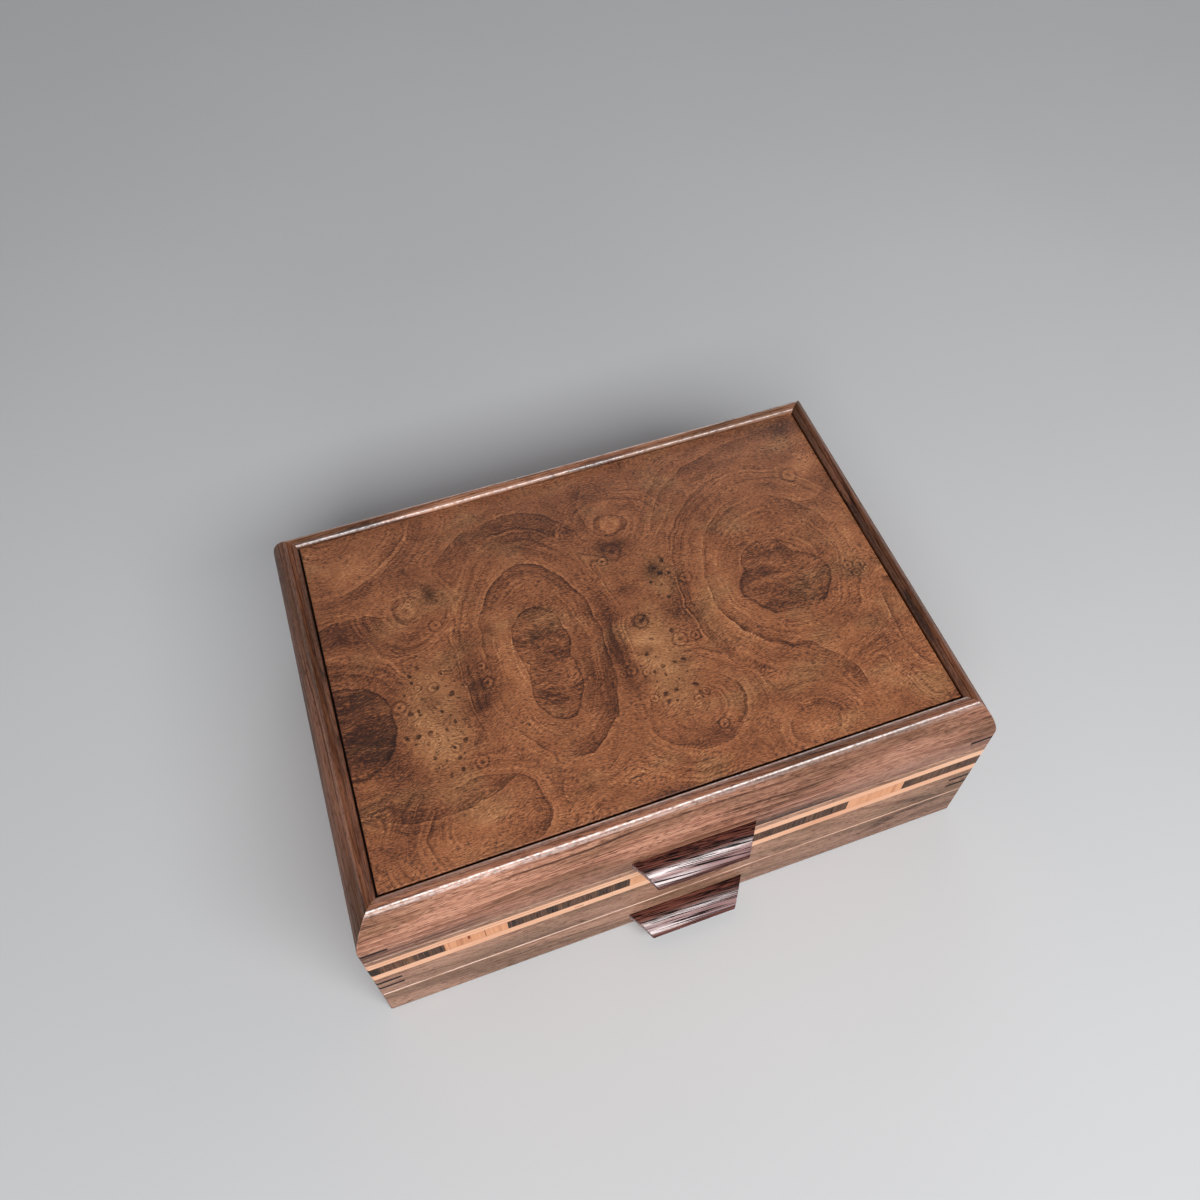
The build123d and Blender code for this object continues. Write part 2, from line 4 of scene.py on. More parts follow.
import bmesh
import bpy
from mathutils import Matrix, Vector


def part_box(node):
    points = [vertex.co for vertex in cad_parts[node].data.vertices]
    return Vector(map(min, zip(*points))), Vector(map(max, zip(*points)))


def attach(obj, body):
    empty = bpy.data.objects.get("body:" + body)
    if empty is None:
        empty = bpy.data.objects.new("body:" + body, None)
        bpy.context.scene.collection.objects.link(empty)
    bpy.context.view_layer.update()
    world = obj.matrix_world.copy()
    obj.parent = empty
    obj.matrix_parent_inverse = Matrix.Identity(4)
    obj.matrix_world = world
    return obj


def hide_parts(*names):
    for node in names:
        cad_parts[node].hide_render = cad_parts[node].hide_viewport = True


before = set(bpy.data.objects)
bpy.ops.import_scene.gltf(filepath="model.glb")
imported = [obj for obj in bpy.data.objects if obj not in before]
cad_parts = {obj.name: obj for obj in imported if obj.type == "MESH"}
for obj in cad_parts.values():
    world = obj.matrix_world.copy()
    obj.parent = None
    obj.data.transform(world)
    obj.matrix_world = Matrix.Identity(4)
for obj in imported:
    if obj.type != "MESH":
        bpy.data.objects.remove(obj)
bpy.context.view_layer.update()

MM = 0.001


# Studio: the camera stands to the front left of the box, high above it, where the photograph was taken.
# A long soft lamp hangs high in front of it, weaker ones low in front and behind, and the floor is pale.
CAMERA_PLACE = (-0.08477, -0.23195, 0.51372)
CAMERA_TURN_DEGREES = (37.150, 0.340, -19.204)
CAMERA_LENS = 33.452
CAMERA_SHIFT_Y = -0.0875
FLOOR_RADIUS = 6.0
BOX_MIDDLE = Vector((0, 0, 0.05))


def tint(red, green, blue):
    """A colour given as it is seen, from 0 to 255 a channel, in the renderer's linear values."""
    seen = [channel / 255 for channel in (red, green, blue)]
    linear = [c / 12.92 if c <= 0.04045 else ((c + 0.055) / 1.055) ** 2.4 for c in seen]
    return (*linear, 1.0)


def feed(node, inputs):
    """Gives a node's inputs plain values, or the sockets that feed them."""
    for label, value in inputs.items():
        if isinstance(value, bpy.types.NodeSocket):
            node.id_data.links.new(value, node.inputs[label])
        else:
            node.inputs[label].default_value = value


def put(kind, inputs, tree=None, **settings):
    """Adds a node with its settings and feeds it. Its tree is that of the sockets that feed it, or is given."""
    tree = tree or next(value.id_data for value in inputs.values() if isinstance(value, bpy.types.NodeSocket))
    node = tree.nodes.new("ShaderNode" + kind)
    for label, value in settings.items():
        setattr(node, label, value)
    feed(node, inputs)
    return node


def reckon(operation, *values):
    """The result of a Math node."""
    return put("Math", dict(enumerate(values)), operation=operation).outputs[0]


def shades(factor, stops, output="Color"):
    """A ramp from (place, colour) stops."""
    stops = list(stops)
    node = put("ValToRGB", {"Fac": factor})
    ramp = node.color_ramp
    while len(ramp.elements) < len(stops):
        ramp.elements.new(0.5)
    for element, (place, colour) in zip(ramp.elements, stops):
        element.position = place
        element.color = colour
    return node.outputs[output]


def lay_over(amount, under, over, mode="MIX"):
    """One colour laid over another by an amount."""
    return put("Mix", {0: amount, 6: under, 7: over}, data_type="RGBA", blend_type=mode).outputs[2]


def shown_directly(tree):
    """One for what the camera sees, also in a mirror or through glass, and nought for light on its way."""
    path = put("LightPath", {}, tree).outputs
    seen = reckon("MAXIMUM", path["Is Camera Ray"], path["Is Transmission Ray"])
    return reckon("MAXIMUM", seen, path["Is Glossy Ray"])


def new_finish(name):
    """A new material: itself, its node tree, its shader, and the place on the piece in metres."""
    finish = bpy.data.materials.new(name)
    finish.use_nodes = True
    tree = finish.node_tree
    return finish, tree, tree.nodes["Principled BSDF"], put("TexCoord", {}, tree).outputs["Object"]


def soft_lamp(name, away, width, depth, watts):
    """A rectangular lamp at a place seen from the box's middle, facing it."""
    lamp = bpy.data.lights.new(name, "AREA")
    lamp.shape = "RECTANGLE"
    lamp.size = width
    lamp.size_y = depth
    lamp.energy = watts
    holder = bpy.data.objects.new(name, lamp)
    holder.location = BOX_MIDDLE + Vector(away)
    holder.rotation_euler = (-Vector(away)).to_track_quat("-Z", "Y").to_euler()
    bpy.context.collection.objects.link(holder)


def pale_room():
    """A room with pale walls and a dim ceiling: full strength where it is seen or mirrored, weaker as light."""
    world = bpy.data.worlds.new("pale_room")
    bpy.context.scene.world = world
    world.use_nodes = True
    tree = world.node_tree
    tree.nodes.clear()
    upward = put("SeparateXYZ", {0: put("TexCoord", {}, tree).outputs["Generated"]}).outputs["Z"]
    walls = shades(upward, [(0.12, tint(205, 206, 208)), (0.55, tint(110, 111, 114))])
    lighting = put("Background", {"Color": walls, "Strength": 0.9})
    showing = put("Background", {"Color": walls, "Strength": 1.0})
    either = put("MixShader", {0: shown_directly(tree), 1: lighting.outputs[0], 2: showing.outputs[0]})
    put("OutputWorld", {"Surface": either.outputs[0]})


def floor_finish():
    """Smooth pale paper, slightly uneven in tone, which throws less light back up than it shows."""
    finish, tree, shader, place = new_finish("studio_paper")
    cloud = put("TexNoise", {"Vector": place, "Scale": 3.0, "Detail": 3.0}).outputs["Fac"]
    paper = shades(cloud, [(0.0, tint(210, 211, 213)), (1.0, tint(220, 221, 222))])
    shown = lay_over(shown_directly(tree), tint(128, 128, 130), paper)
    feed(shader, {"Base Color": shown, "Roughness": 0.9, "Specular IOR Level": 0.1})
    return finish


camera = bpy.data.objects.new("camera", bpy.data.cameras.new("camera"))
camera.location = CAMERA_PLACE
camera.rotation_euler = [math.radians(turn) for turn in CAMERA_TURN_DEGREES]
camera.data.lens = CAMERA_LENS
camera.data.sensor_width = 36.0
camera.data.shift_y = CAMERA_SHIFT_Y
bpy.context.collection.objects.link(camera)
bpy.context.scene.camera = camera

soft_lamp("front_overhead_lamp", (0.05, -0.74, 0.82), 1.2, 0.34, 11.1)
soft_lamp("front_low_lamp", (-0.5, -3.2, 0.7), 2.0, 1.0, 20.8)
soft_lamp("back_low_lamp", (0.9, 2.5, 0.52), 2.0, 0.8, 16.0)
pale_room()
bpy.context.scene.view_settings.view_transform = "Standard"

bpy.ops.object.select_all(action="DESELECT")
bpy.ops.mesh.primitive_circle_add(vertices=96, radius=FLOOR_RADIUS, fill_type="NGON")
floor = bpy.context.object
floor.name = "floor"
floor.data.materials.append(floor_finish())


# Case walls: four boards of lacquered walnut, mitred at the corners, with a shallow channel all round for the
# inlaid band. The front one ends above the drawer, and the rim of the back one is bevelled for the lid.
WIDTH = 270 * MM
DEPTH = 190 * MM
HEIGHT = 101 * MM
WALL = 12.7 * MM
CORNER_EASE = 1.2 * MM
EDGE_EASE = 0.4 * MM
TOP_CHAMFER = 0.6 * MM
HALF_X = WIDTH / 2 - WALL
HALF_Y = DEPTH / 2 - WALL
LID_SPLIT = 71 * MM
LID_GAP = 0.2 * MM
CASE_TOP = LID_SPLIT - LID_GAP / 2
RAIL_BOTTOM = 25.25 * MM
BAND_BOTTOM = 47.4 * MM
BAND_TOP = 66.8 * MM
INLAY_DEPTH = 3 * MM
REBATE_DEPTH = 6 * MM
REBATE_ROOM = 0.4 * MM
REBATE_TOP = 3.9 * MM
HINGE_AXIS_Y = 92 * MM
BEVEL_ANGLE = math.radians(47.6)
BOARD_SPARE = 20 * MM
NEAR = MM / 100

# Each side's turn from the front in degrees, its reach from the middle and its half length inside the walls
SIDES = {
    "front": (0, HALF_Y, HALF_X),
    "right": (90, HALF_X, HALF_Y),
    "back": (180, HALF_Y, HALF_X),
    "left": (270, HALF_X, HALF_Y),
}


def clear_selection():
    """Nothing stays selected, so that an operator acts on the new piece alone."""
    bpy.ops.object.select_all(action="DESELECT")


def take_up(piece):
    """Selects one piece alone."""
    clear_selection()
    piece.select_set(True)
    bpy.context.view_layer.objects.active = piece


def begin_outline(name, x, point):
    """Starts a piece as a single point at (y, z), in edit mode: a small plane merged to its middle."""
    clear_selection()
    bpy.ops.mesh.primitive_plane_add(size=MM, location=(x, *point))
    piece = bpy.context.object
    piece.name = name
    bpy.ops.object.transform_apply()
    bpy.ops.object.mode_set(mode="EDIT")
    bpy.ops.mesh.select_mode(type="VERT")
    bpy.ops.mesh.select_all(action="SELECT")
    bpy.ops.mesh.merge(type="CENTER")
    return piece


def draw(outline):
    """Extrudes the selected point along an outline of (y, z) points. An item of four is an arc: its middle, its
    sweep in degrees, its steps and the point where it ends."""
    here = outline[0]
    for item in outline[1:]:
        if len(item) == 4:
            middle, degrees, steps, here = item
            bpy.ops.mesh.spin(steps=steps, angle=-math.radians(degrees), center=(0, *middle), axis=(1, 0, 0))
        else:
            step = (0, item[0] - here[0], item[1] - here[1])
            bpy.ops.mesh.extrude_vertices_move(TRANSFORM_OT_translate={"value": step})
            here = item


def merge_all(within):
    """Selects the whole mesh and merges the points that lie within some millimetres of each other."""
    bpy.ops.mesh.select_all(action="SELECT")
    bpy.ops.mesh.remove_doubles(threshold=within * MM)


def fill_and_run(length):
    """Closes the drawn outline, fills it and runs it along X."""
    merge_all(0.001)
    bpy.ops.mesh.edge_face_add()
    bpy.ops.mesh.extrude_region_move(TRANSFORM_OT_translate={"value": (length, 0, 0)})
    bpy.ops.mesh.select_all(action="SELECT")
    bpy.ops.mesh.normals_make_consistent(inside=False)


def saw(place, away):
    """Cuts the whole piece with a plane, and drops what lies beyond it."""
    bpy.ops.mesh.select_all(action="SELECT")
    bpy.ops.mesh.bisect(
        plane_co=place, plane_no=Vector(away).normalized(), use_fill=True, clear_outer=True, threshold=0.001 * MM)


def round_corner(middle, end_x, end_y, degrees):
    """Rounds the upright corner that points to end_x, end_y about a middle, with flats at some angles."""
    for angle in map(math.radians, degrees):
        away = Vector((end_x * math.sin(angle), end_y * math.cos(angle), 0))
        saw(middle + CORNER_EASE * away, away)


def pick(piece, kind, wanted):
    """Selects the edges or the faces all of whose corners pass the test."""
    bpy.ops.mesh.select_mode(type=kind)
    bpy.ops.mesh.select_all(action="DESELECT")
    mesh = bmesh.from_edit_mesh(piece.data)
    for item in mesh.edges if kind == "EDGE" else mesh.faces:
        item.select_set(all(wanted(corner.co) for corner in item.verts))
    bmesh.update_edit_mesh(piece.data)


def ease(piece, wanted, radius, steps):
    """Rounds the edges whose ends pass the test."""
    pick(piece, "EDGE", wanted)
    bpy.ops.mesh.bevel(offset=radius, segments=steps, profile=0.5, affect="EDGES")


def leave_edit(piece, degrees=0):
    """Merges what the saw left double, turns a front piece to its own side, and keeps its place in its mesh."""
    merge_all(0.002)
    bpy.ops.mesh.normals_make_consistent(inside=False)
    bpy.ops.object.mode_set(mode="OBJECT")
    piece.rotation_euler.z = math.radians(degrees)
    bpy.ops.object.transform_apply()


def mitred_board(name, side, outline, eases, gap=0.0):
    """A board drawn in section as if it were the front, run along, eased at some (y, z), mitred, its upright
    corners rounded as far as the mitre, and turned to its side."""
    turn, reach, half = SIDES[side]
    start = -(half + BOARD_SPARE)
    piece = begin_outline(name, start, outline[0])
    draw(outline)
    fill_and_run(-2 * start)
    for y, z, radius, steps in eases:
        ease(piece, lambda p: max(abs(p.y - y), abs(p.z - z)) < NEAR, radius, steps)
    for end in (-1, 1):
        saw((end * half, -reach - gap, 0), (end, 1, 0))
        middle = Vector((end * (half + WALL - CORNER_EASE), -(reach + WALL - CORNER_EASE), 0))
        round_corner(middle, end, -1, (15, 30, 45))
    leave_edit(piece, turn)
    return piece


def bevel_back(piece, up):
    """Saws the bevel that meets its twin when the lid stands open: up is 1 on the lid and -1 on the case."""
    bpy.ops.object.mode_set(mode="EDIT")
    saw((0, HINGE_AXIS_Y, LID_SPLIT), (0, math.sin(BEVEL_ANGLE), -up * math.cos(BEVEL_ANGLE)))
    bpy.ops.object.mode_set(mode="OBJECT")


def block(name, corner, opposite):
    """A plain block between two opposite corners, used to cut with or to shape further."""
    clear_selection()
    middle = [(a + b) / 2 for a, b in zip(corner, opposite)]
    size = [abs(b - a) for a, b in zip(corner, opposite)]
    bpy.ops.mesh.primitive_cube_add(size=1, location=middle, scale=size)
    piece = bpy.context.object
    piece.name = name
    bpy.ops.object.transform_apply()
    return piece


def shape_with(piece, kind, **settings):
    """Gives a piece a modifier and applies it."""
    take_up(piece)
    modifier = piece.modifiers.new(kind.lower(), kind)
    for label, value in settings.items():
        setattr(modifier, label, value)
    bpy.ops.object.modifier_apply(modifier=modifier.name)


def cut_out(piece, cutter):
    """Takes the cutter's room out of the piece, and throws the cutter away."""
    shape_with(piece, "BOOLEAN", object=cutter, solver="EXACT")
    bpy.data.objects.remove(cutter)


def finish_piece(piece, body, finish, node, smooth_below=30):
    """Shades a piece, gives it its material, and puts it on its body in place of its CAD node."""
    take_up(piece)
    bpy.ops.object.shade_smooth_by_angle(angle=math.radians(smooth_below))
    piece.data.materials.clear()
    piece.data.materials.append(finish)
    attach(piece, body)
    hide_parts(node)


def new_group(name, inputs, outputs):
    """An empty shader node group. Its inputs have default values, or None for a vector."""
    tree = bpy.data.node_groups.new(name, "ShaderNodeTree")
    for label, default in inputs.items():
        kind = "NodeSocketVector" if default is None else "NodeSocketFloat"
        socket = tree.interface.new_socket(name=label, in_out="INPUT", socket_type=kind)
        if default is not None:
            socket.default_value = default
    for label in outputs:
        tree.interface.new_socket(name=label, in_out="OUTPUT", socket_type="NodeSocketFloat")
    return tree, tree.nodes.new("NodeGroupInput").outputs, tree.nodes.new("NodeGroupOutput")


def times(first, second):
    """Two values multiplied."""
    return reckon("MULTIPLY", first, second)


def times_plus(first, second, more):
    """Two values multiplied, and a third added."""
    return reckon("MULTIPLY_ADD", first, second, more)


def steer(operation, *vectors, output=0):
    """The result of a Vector Math node."""
    return put("VectorMath", dict(enumerate(vectors)), operation=operation).outputs[output]


def scaled(vector, factors):
    """A vector multiplied by factors."""
    return steer("MULTIPLY", vector, factors)


def in_mm(place):
    """A place in millimetres."""
    return scaled(place, (1000, 1000, 1000))


def summed(first, *others):
    """Vectors added."""
    for other in others:
        first = steer("ADD", first, other)
    return first


def axes_of(vector):
    """A vector's X, Y and Z."""
    return put("SeparateXYZ", {0: vector}).outputs


def noise(vector, swell=None, detail=2.0, roughness=0.5, output="Fac"):
    """Smooth random values, whose swells have a given size on each axis."""
    if swell:
        vector = scaled(vector, [1 / size for size in swell])
    inputs = {"Vector": vector, "Scale": 1.0, "Detail": detail, "Roughness": roughness}
    return put("TexNoise", inputs).outputs[output]


def swing(vector, swell, amount, detail=2.0):
    """A random vector that swings about zero, as far as amount says on each axis."""
    colour = noise(vector, swell, detail, output="Color")
    return scaled(steer("SUBTRACT", colour, (0.5, 0.5, 0.5)), amount)


def step_up(value, low, high, floor_value=0.0, top_value=1.0):
    """A smooth rise from floor_value to top_value while value goes from low to high."""
    inputs = {"Value": value, "From Min": low, "From Max": high, "To Min": floor_value, "To Max": top_value}
    return put("MapRange", inputs, interpolation_type="SMOOTHSTEP").outputs["Result"]


def lengthways(along, across):
    """A vector with one value along X and another across it."""
    return put("CombineXYZ", {"X": along, "Y": across, "Z": across}).outputs[0]


def make_wood_grain():
    """Straight-grown wood. X runs along the grain in metres, and the tree's heart lies on the X axis.
    Rings are the dark lines of late wood, streaks the fine fibres, pores the open vessels, cloud the slow tone."""
    inputs = {"Vector": None, "Ring Pitch": 4.0, "Wander": 6.0, "Ripple": 0.9, "Fibre Width": 0.5,
              "Pore Length": 3.0, "Pore Width": 0.3, "Pore Start": 0.62}
    tree, given, end = new_group("wood_grain", inputs, ("Rings", "Streaks", "Pores", "Cloud"))
    place = in_mm(given["Vector"])
    slow = swing(place, (110, 26, 26), lengthways(0.0, given["Wander"]))
    wavy = summed(place, slow, swing(place, (17, 4, 4), lengthways(0.0, given["Ripple"])))

    radius = steer("LENGTH", scaled(wavy, (0, 1, 1)), output="Value")
    rings = reckon("DIVIDE", radius, given["Ring Pitch"])
    uneven = put("TexNoise", {"W": times(rings, 0.45)}, noise_dimensions="1D").outputs["Fac"]
    rings = reckon("ADD", rings, times(uneven, 1.6))
    within = reckon("FRACT", rings)
    which = put("TexWhiteNoise", {"W": reckon("FLOOR", rings)}, noise_dimensions="1D").outputs["Value"]
    late = times(step_up(within, 0.25, 0.9), step_up(within, 1.0, 0.93))
    patchy = step_up(noise(place, (60, 18, 18)), 0.38, 0.62, 0.2, 1.0)
    strength = times(step_up(which, 0.0, 1.0, 0.25, 1.0), patchy)

    narrow = reckon("DIVIDE", 1.0, given["Fibre Width"])
    long = reckon("DIVIDE", 1.0, given["Pore Length"])
    thin = reckon("DIVIDE", 1.0, given["Pore Width"])
    speck = noise(scaled(wavy, lengthways(long, thin)), detail=1.0)
    feed(end, {
        "Rings": times(late, strength),
        "Streaks": noise(scaled(wavy, lengthways(1 / 45, narrow)), detail=3.0, roughness=0.65),
        "Pores": step_up(speck, given["Pore Start"], reckon("ADD", given["Pore Start"], 0.1)),
        "Cloud": noise(wavy, (75, 13, 13)),
    })
    return tree


def make_edge_finder():
    """Where a piece's edges are: one on an edge, nought on a flat, broken up along its length."""
    tree, given, end = new_group("edge_finder", {"Reach": 0.0006}, ("Mask",))
    rounded = put("Bevel", {"Radius": given["Reach"]}, samples=4).outputs[0]
    flat = put("NewGeometry", {}, tree).outputs["Normal"]
    edge = step_up(steer("DOT_PRODUCT", rounded, flat, output="Value"), 0.995, 0.8)
    patchy = noise(in_mm(put("TexCoord", {}, tree).outputs["Object"]), (6, 6, 6), 3.0)
    feed(end, {"Mask": times(edge, step_up(patchy, 0.35, 0.65))})
    return tree


def inside_box(place, low, high):
    """One inside the box between two corners, in metres, and nought outside it."""
    axes = axes_of(steer("MINIMUM", steer("SUBTRACT", place, low), steer("SUBTRACT", high, place)))
    nearest = reckon("MINIMUM", reckon("MINIMUM", axes["X"], axes["Y"]), axes["Z"])
    return step_up(nearest, 0.0, 0.1 * MM)


def way_out(place):
    """The way out from the lid panel's opening, in millimetres."""
    axes = axes_of(steer("SUBTRACT", steer("ABSOLUTE", place), (HALF_X, HALF_Y, 0)))
    return times(reckon("MAXIMUM", axes["X"], axes["Y"]), 1000)


def on_ridges(place):
    """How thick the lacquer stands on the lid frame's bead and on its arris."""
    way = way_out(place)
    bead = step_up(way, 2.3, 1.9)
    arris = step_up(reckon("ABSOLUTE", reckon("SUBTRACT", way, 5.0)), 1.15, 0.6)
    patchy = step_up(noise(scaled(place, (700, 700, 700)), detail=3.0), 0.3, 0.6, 0.35, 1.0)
    return times(reckon("MAXIMUM", bead, arris), patchy)


def relief(height, depth):
    """The slope of a surface with a pattern raised by some millimetres."""
    return put("Bump", {"Height": height, "Distance": depth * MM, "Strength": 1.0}).outputs["Normal"]


wood_grain = make_wood_grain()
edge_finder = make_edge_finder()

LACQUER_IOR = 1.85
THICK_LACQUER_IOR = 2.5
# Painted shade: the tint that darkens the lid frame's inner flat and bead.
INNER_STRIP_SHADE = tint(216, 206, 200)
# The colour of the painted highlight on the top chamfers of the front and the drawer
CHAMFER_HIGHLIGHT_TONE = tint(236, 192, 168)


def wood_finish(name, turn, heart, colours, grain, marks, gloss=(0.4, 0.06), depth=0.02, drift=None, stains=(),
                streaky=0.25, ridges=0, lit=None, edge_weight=1.0, shading=None):
    """A finished wood. turn is the board's turn from X, with its tilt to the heart, in degrees, and heart is
    where the heart lies in millimetres. colours run from light to dark, then pore. marks are the weights of
    rings, streaks, cloud and pores, gloss is (roughness, coat), and depth is that of the pores in millimetres.
    drift is a tint that comes and goes along the board, stains are (low corner, high corner, tint) of places with
    another tone, which are stained places on the band and painted shade in the lid frame's shadow gap, streaky is
    how dull the pores are under the lacquer, ridges asks for the thicker lacquer on a frame's ridges and for
    painted shade on its inner flat and bead, lit is the low and high corner of a chamfer with a painted highlight
    and a thicker coat, and how bright it is, wear is nought for a flush inlay and otherwise lightens the edges, as
    worn and as a painted glint, and shading is where along X a painted shade starts, where it is full, and its
    tint."""
    finish, tree, shader, place = new_finish(name)
    turned = put("Mapping", {"Vector": place, "Rotation": [math.radians(angle) for angle in turn]}).outputs[0]
    shifted = put("Mapping", {"Vector": turned, "Location": [-way * MM for way in heart]}).outputs[0]
    rings, streaks, pores, cloud = put("Group", {"Vector": shifted, **grain}, node_tree=wood_grain).outputs

    light, middle, dark, pore = colours
    ring_mark, streak_mark, cloud_mark, pore_mark = marks
    streak = times(reckon("SUBTRACT", streaks, 0.5), 2 * streak_mark)
    slow = times(reckon("SUBTRACT", cloud, 0.5), 2 * cloud_mark)
    tone = reckon("ADD", reckon("ADD", times(rings, ring_mark), streak), reckon("ADD", slow, 0.25))
    colour = shades(tone, [(0.0, light), (0.42, middle), (0.95, dark)])
    if drift:
        colour = lay_over(step_up(cloud, 0.46, 0.62), colour, drift, "MULTIPLY")
    colour = lay_over(times(pores, pore_mark), colour, pore)
    edge_mask = 0.0
    # The edges are lightened in colour, as worn and as a painted glint, and take a thicker coat.
    if edge_weight:
        edge_mask = times(put("Group", {}, tree, node_tree=edge_finder).outputs["Mask"], edge_weight)
        colour = lay_over(times(edge_mask, 0.45), colour, light)
    # Each toned place multiplies the colour by its tint: stained places on the band, and painted shade in the lid
    # frame's shadow gap.
    for low, high, place_tone in stains:
        colour = lay_over(inside_box(place, low, high), colour, place_tone, "MULTIPLY")
    # Painted shade: the colour darkens along X, from one end of the board to the other, by the far tint.
    if shading:
        start, full, painted_shade_tone = shading
        colour = lay_over(step_up(axes_of(place)["X"], start, full), colour, painted_shade_tone, "MULTIPLY")

    shine = put("Math", {0: edge_mask, 1: 0.6, 2: gloss[1]}, tree, operation="MULTIPLY_ADD").outputs[0]
    # Painted shade darkens the frame's inner flat and bead, and the ridges take a thicker coat.
    if ridges:
        colour = lay_over(step_up(way_out(place), 4.6, 4.0), colour, INNER_STRIP_SHADE, "MULTIPLY")
        shine = reckon("MAXIMUM", shine, times(on_ridges(place), ridges))
    # A painted highlight: the chamfer's colour is lightened in broken patches, and its coat thickened.
    if lit:
        low, high, bright = lit
        patchy = step_up(noise(scaled(place, (90, 90, 90)), detail=3.0), 0.3, 0.6, 0.4 * bright, bright)
        painted_glint = times(inside_box(place, low, high), patchy)
        colour = lay_over(times(painted_glint, 0.8), colour, CHAMFER_HIGHLIGHT_TONE)
        shine = reckon("MAXIMUM", shine, painted_glint)
    feed(shader, {
        "Base Color": colour,
        "Roughness": reckon("ADD", times(pores, 0.25), times_plus(streaks, 0.1, gloss[0])),
        "Coat Weight": times(shine, times_plus(pores, -streaky, 1.0)),
        "Coat Roughness": 0.3 if ridges else 0.22,
        "Coat IOR": THICK_LACQUER_IOR if ridges else LACQUER_IOR,
        "Specular IOR Level": 0.06,
        "Normal": relief(reckon("SUBTRACT", times(streaks, 0.35), pores), depth),
    })
    return finish


WALNUT = (tint(200, 156, 132), tint(160, 116, 95), tint(96, 62, 48), tint(54, 34, 26))
WALNUT_GRAIN = {"Ring Pitch": 3.4, "Wander": 8.0, "Fibre Width": 0.5, "Pore Length": 4.2, "Pore Width": 0.42,
                "Pore Start": 0.57}
WALNUT_DRIFT = tint(226, 232, 226)
WALL_WOOD = {
    "right": ((0, 1.5, -86.0), (-20, -160, 30)),
    "back": ((1.0, 0, -3.0), (40, 125, 55)),
    "left": ((0, 1.0, -93.5), (15, 165, 45)),
}
HINGE_PLACES = (-78 * MM, 78 * MM)
HINGE_HALF = 16.1 * MM
LEAF_POCKET = 1.4 * MM
LEAF_POCKET_START = 83.9 * MM
BARREL_POCKET_RADIUS = 2.75 * MM


def walnut(name, turn, heart, colours=WALNUT, marks=(0.9, 0.75, 0.5, 0.65), **others):
    """Black walnut under satin lacquer, as the case and the lid's frame are."""
    return wood_finish(name, turn, heart, colours, WALNUT_GRAIN, marks, drift=WALNUT_DRIFT, **others)


def front_walnut(name, top, bright, painted_shade_tone):
    """The walnut of the front and of the drawer, sawn from one board, with a painted highlight on its top chamfer
    and painted shade that deepens towards the right.
    """
    lit = ((-WIDTH, -DEPTH / 2, top - TOP_CHAMFER), (WIDTH, -DEPTH / 2 + MM, top + MM), bright)
    return walnut(name, (2.0, -7.0, 4.5), (30, -130, 34), marks=(0.6, 0.8, 0.4, 0.65), lit=lit,
                  shading=(-40 * MM, 90 * MM, painted_shade_tone))


def sink_hinges(piece, up):
    """Cuts in a rim the room for both hinges, a shallow recess for the leaves and a round one for the barrel:
    up is 1 in the lid and -1 in the case."""
    for place in HINGE_PLACES:
        cut_out(piece, block("leaf_room", (place - HINGE_HALF, LEAF_POCKET_START, LID_SPLIT - up * MM),
                             (place + HINGE_HALF, HINGE_AXIS_Y, LID_SPLIT + up * LEAF_POCKET)))
        clear_selection()
        bpy.ops.mesh.primitive_cylinder_add(
            vertices=48, radius=BARREL_POCKET_RADIUS, depth=2 * HINGE_HALF,
            location=(place, HINGE_AXIS_Y, LID_SPLIT), rotation=(0, math.pi / 2, 0))
        cut_out(piece, bpy.context.object)


def case_wall(side):
    """One board of the case."""
    front = side == "front"
    reach = SIDES[side][1]
    inner, outer = -reach, -(reach + WALL)
    channel = outer + INLAY_DEPTH
    bottom = RAIL_BOTTOM if front else 0.0
    outline = [
        (inner, bottom), (outer, bottom), (outer, BAND_BOTTOM), (channel, BAND_BOTTOM), (channel, BAND_TOP),
        (outer, BAND_TOP), (outer, CASE_TOP), (inner, CASE_TOP), (inner, bottom),
    ]
    eases = [(outer, bottom, EDGE_EASE, 3), (outer, CASE_TOP, TOP_CHAMFER, 1)]
    piece = mitred_board("case_wall_" + side, side, outline, eases)
    if front:
        node = "case_front_rail"
        finish = front_walnut("walnut_wall_front", CASE_TOP, 0.3, tint(242, 240, 234))
    else:
        node = "case_back" if side == "back" else f"case_{side}_side"
        finish = walnut("walnut_wall_" + side, *WALL_WOOD[side])
        bevel_back(piece, -1)
        cut_out(piece, block("rebate", (-HALF_X - REBATE_DEPTH, -HALF_Y + REBATE_ROOM, -MM),
                             (HALF_X + REBATE_DEPTH, HALF_Y + REBATE_DEPTH, REBATE_TOP)))
    if side == "back":
        sink_hinges(piece, -1)
    finish_piece(piece, "case", finish, node)


for side in SIDES:
    case_wall(side)


# Base: a birch plywood panel let into the walls from below, with baize glued under it so that the box
# doesn't scratch what it stands on.
PLY = (tint(222, 196, 156), tint(206, 176, 134), tint(176, 142, 100), tint(140, 106, 72))
PLY_GRAIN = {"Ring Pitch": 9.0, "Wander": 14.0, "Fibre Width": 0.5, "Pore Length": 2.0, "Pore Width": 0.25,
             "Pore Start": 0.66}


def plywood(name, heart):
    """Birch plywood with a matt seal."""
    return wood_finish(name, (0, 0, 3.0), heart, PLY, PLY_GRAIN, (0.3, 0.25, 0.3, 0.25), (0.5, 0.0), 0.01)


def keep_node(node, finish):
    """A CAD node that shows as it is gets its material."""
    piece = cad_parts[node]
    piece.data.materials.clear()
    piece.data.materials.append(finish)


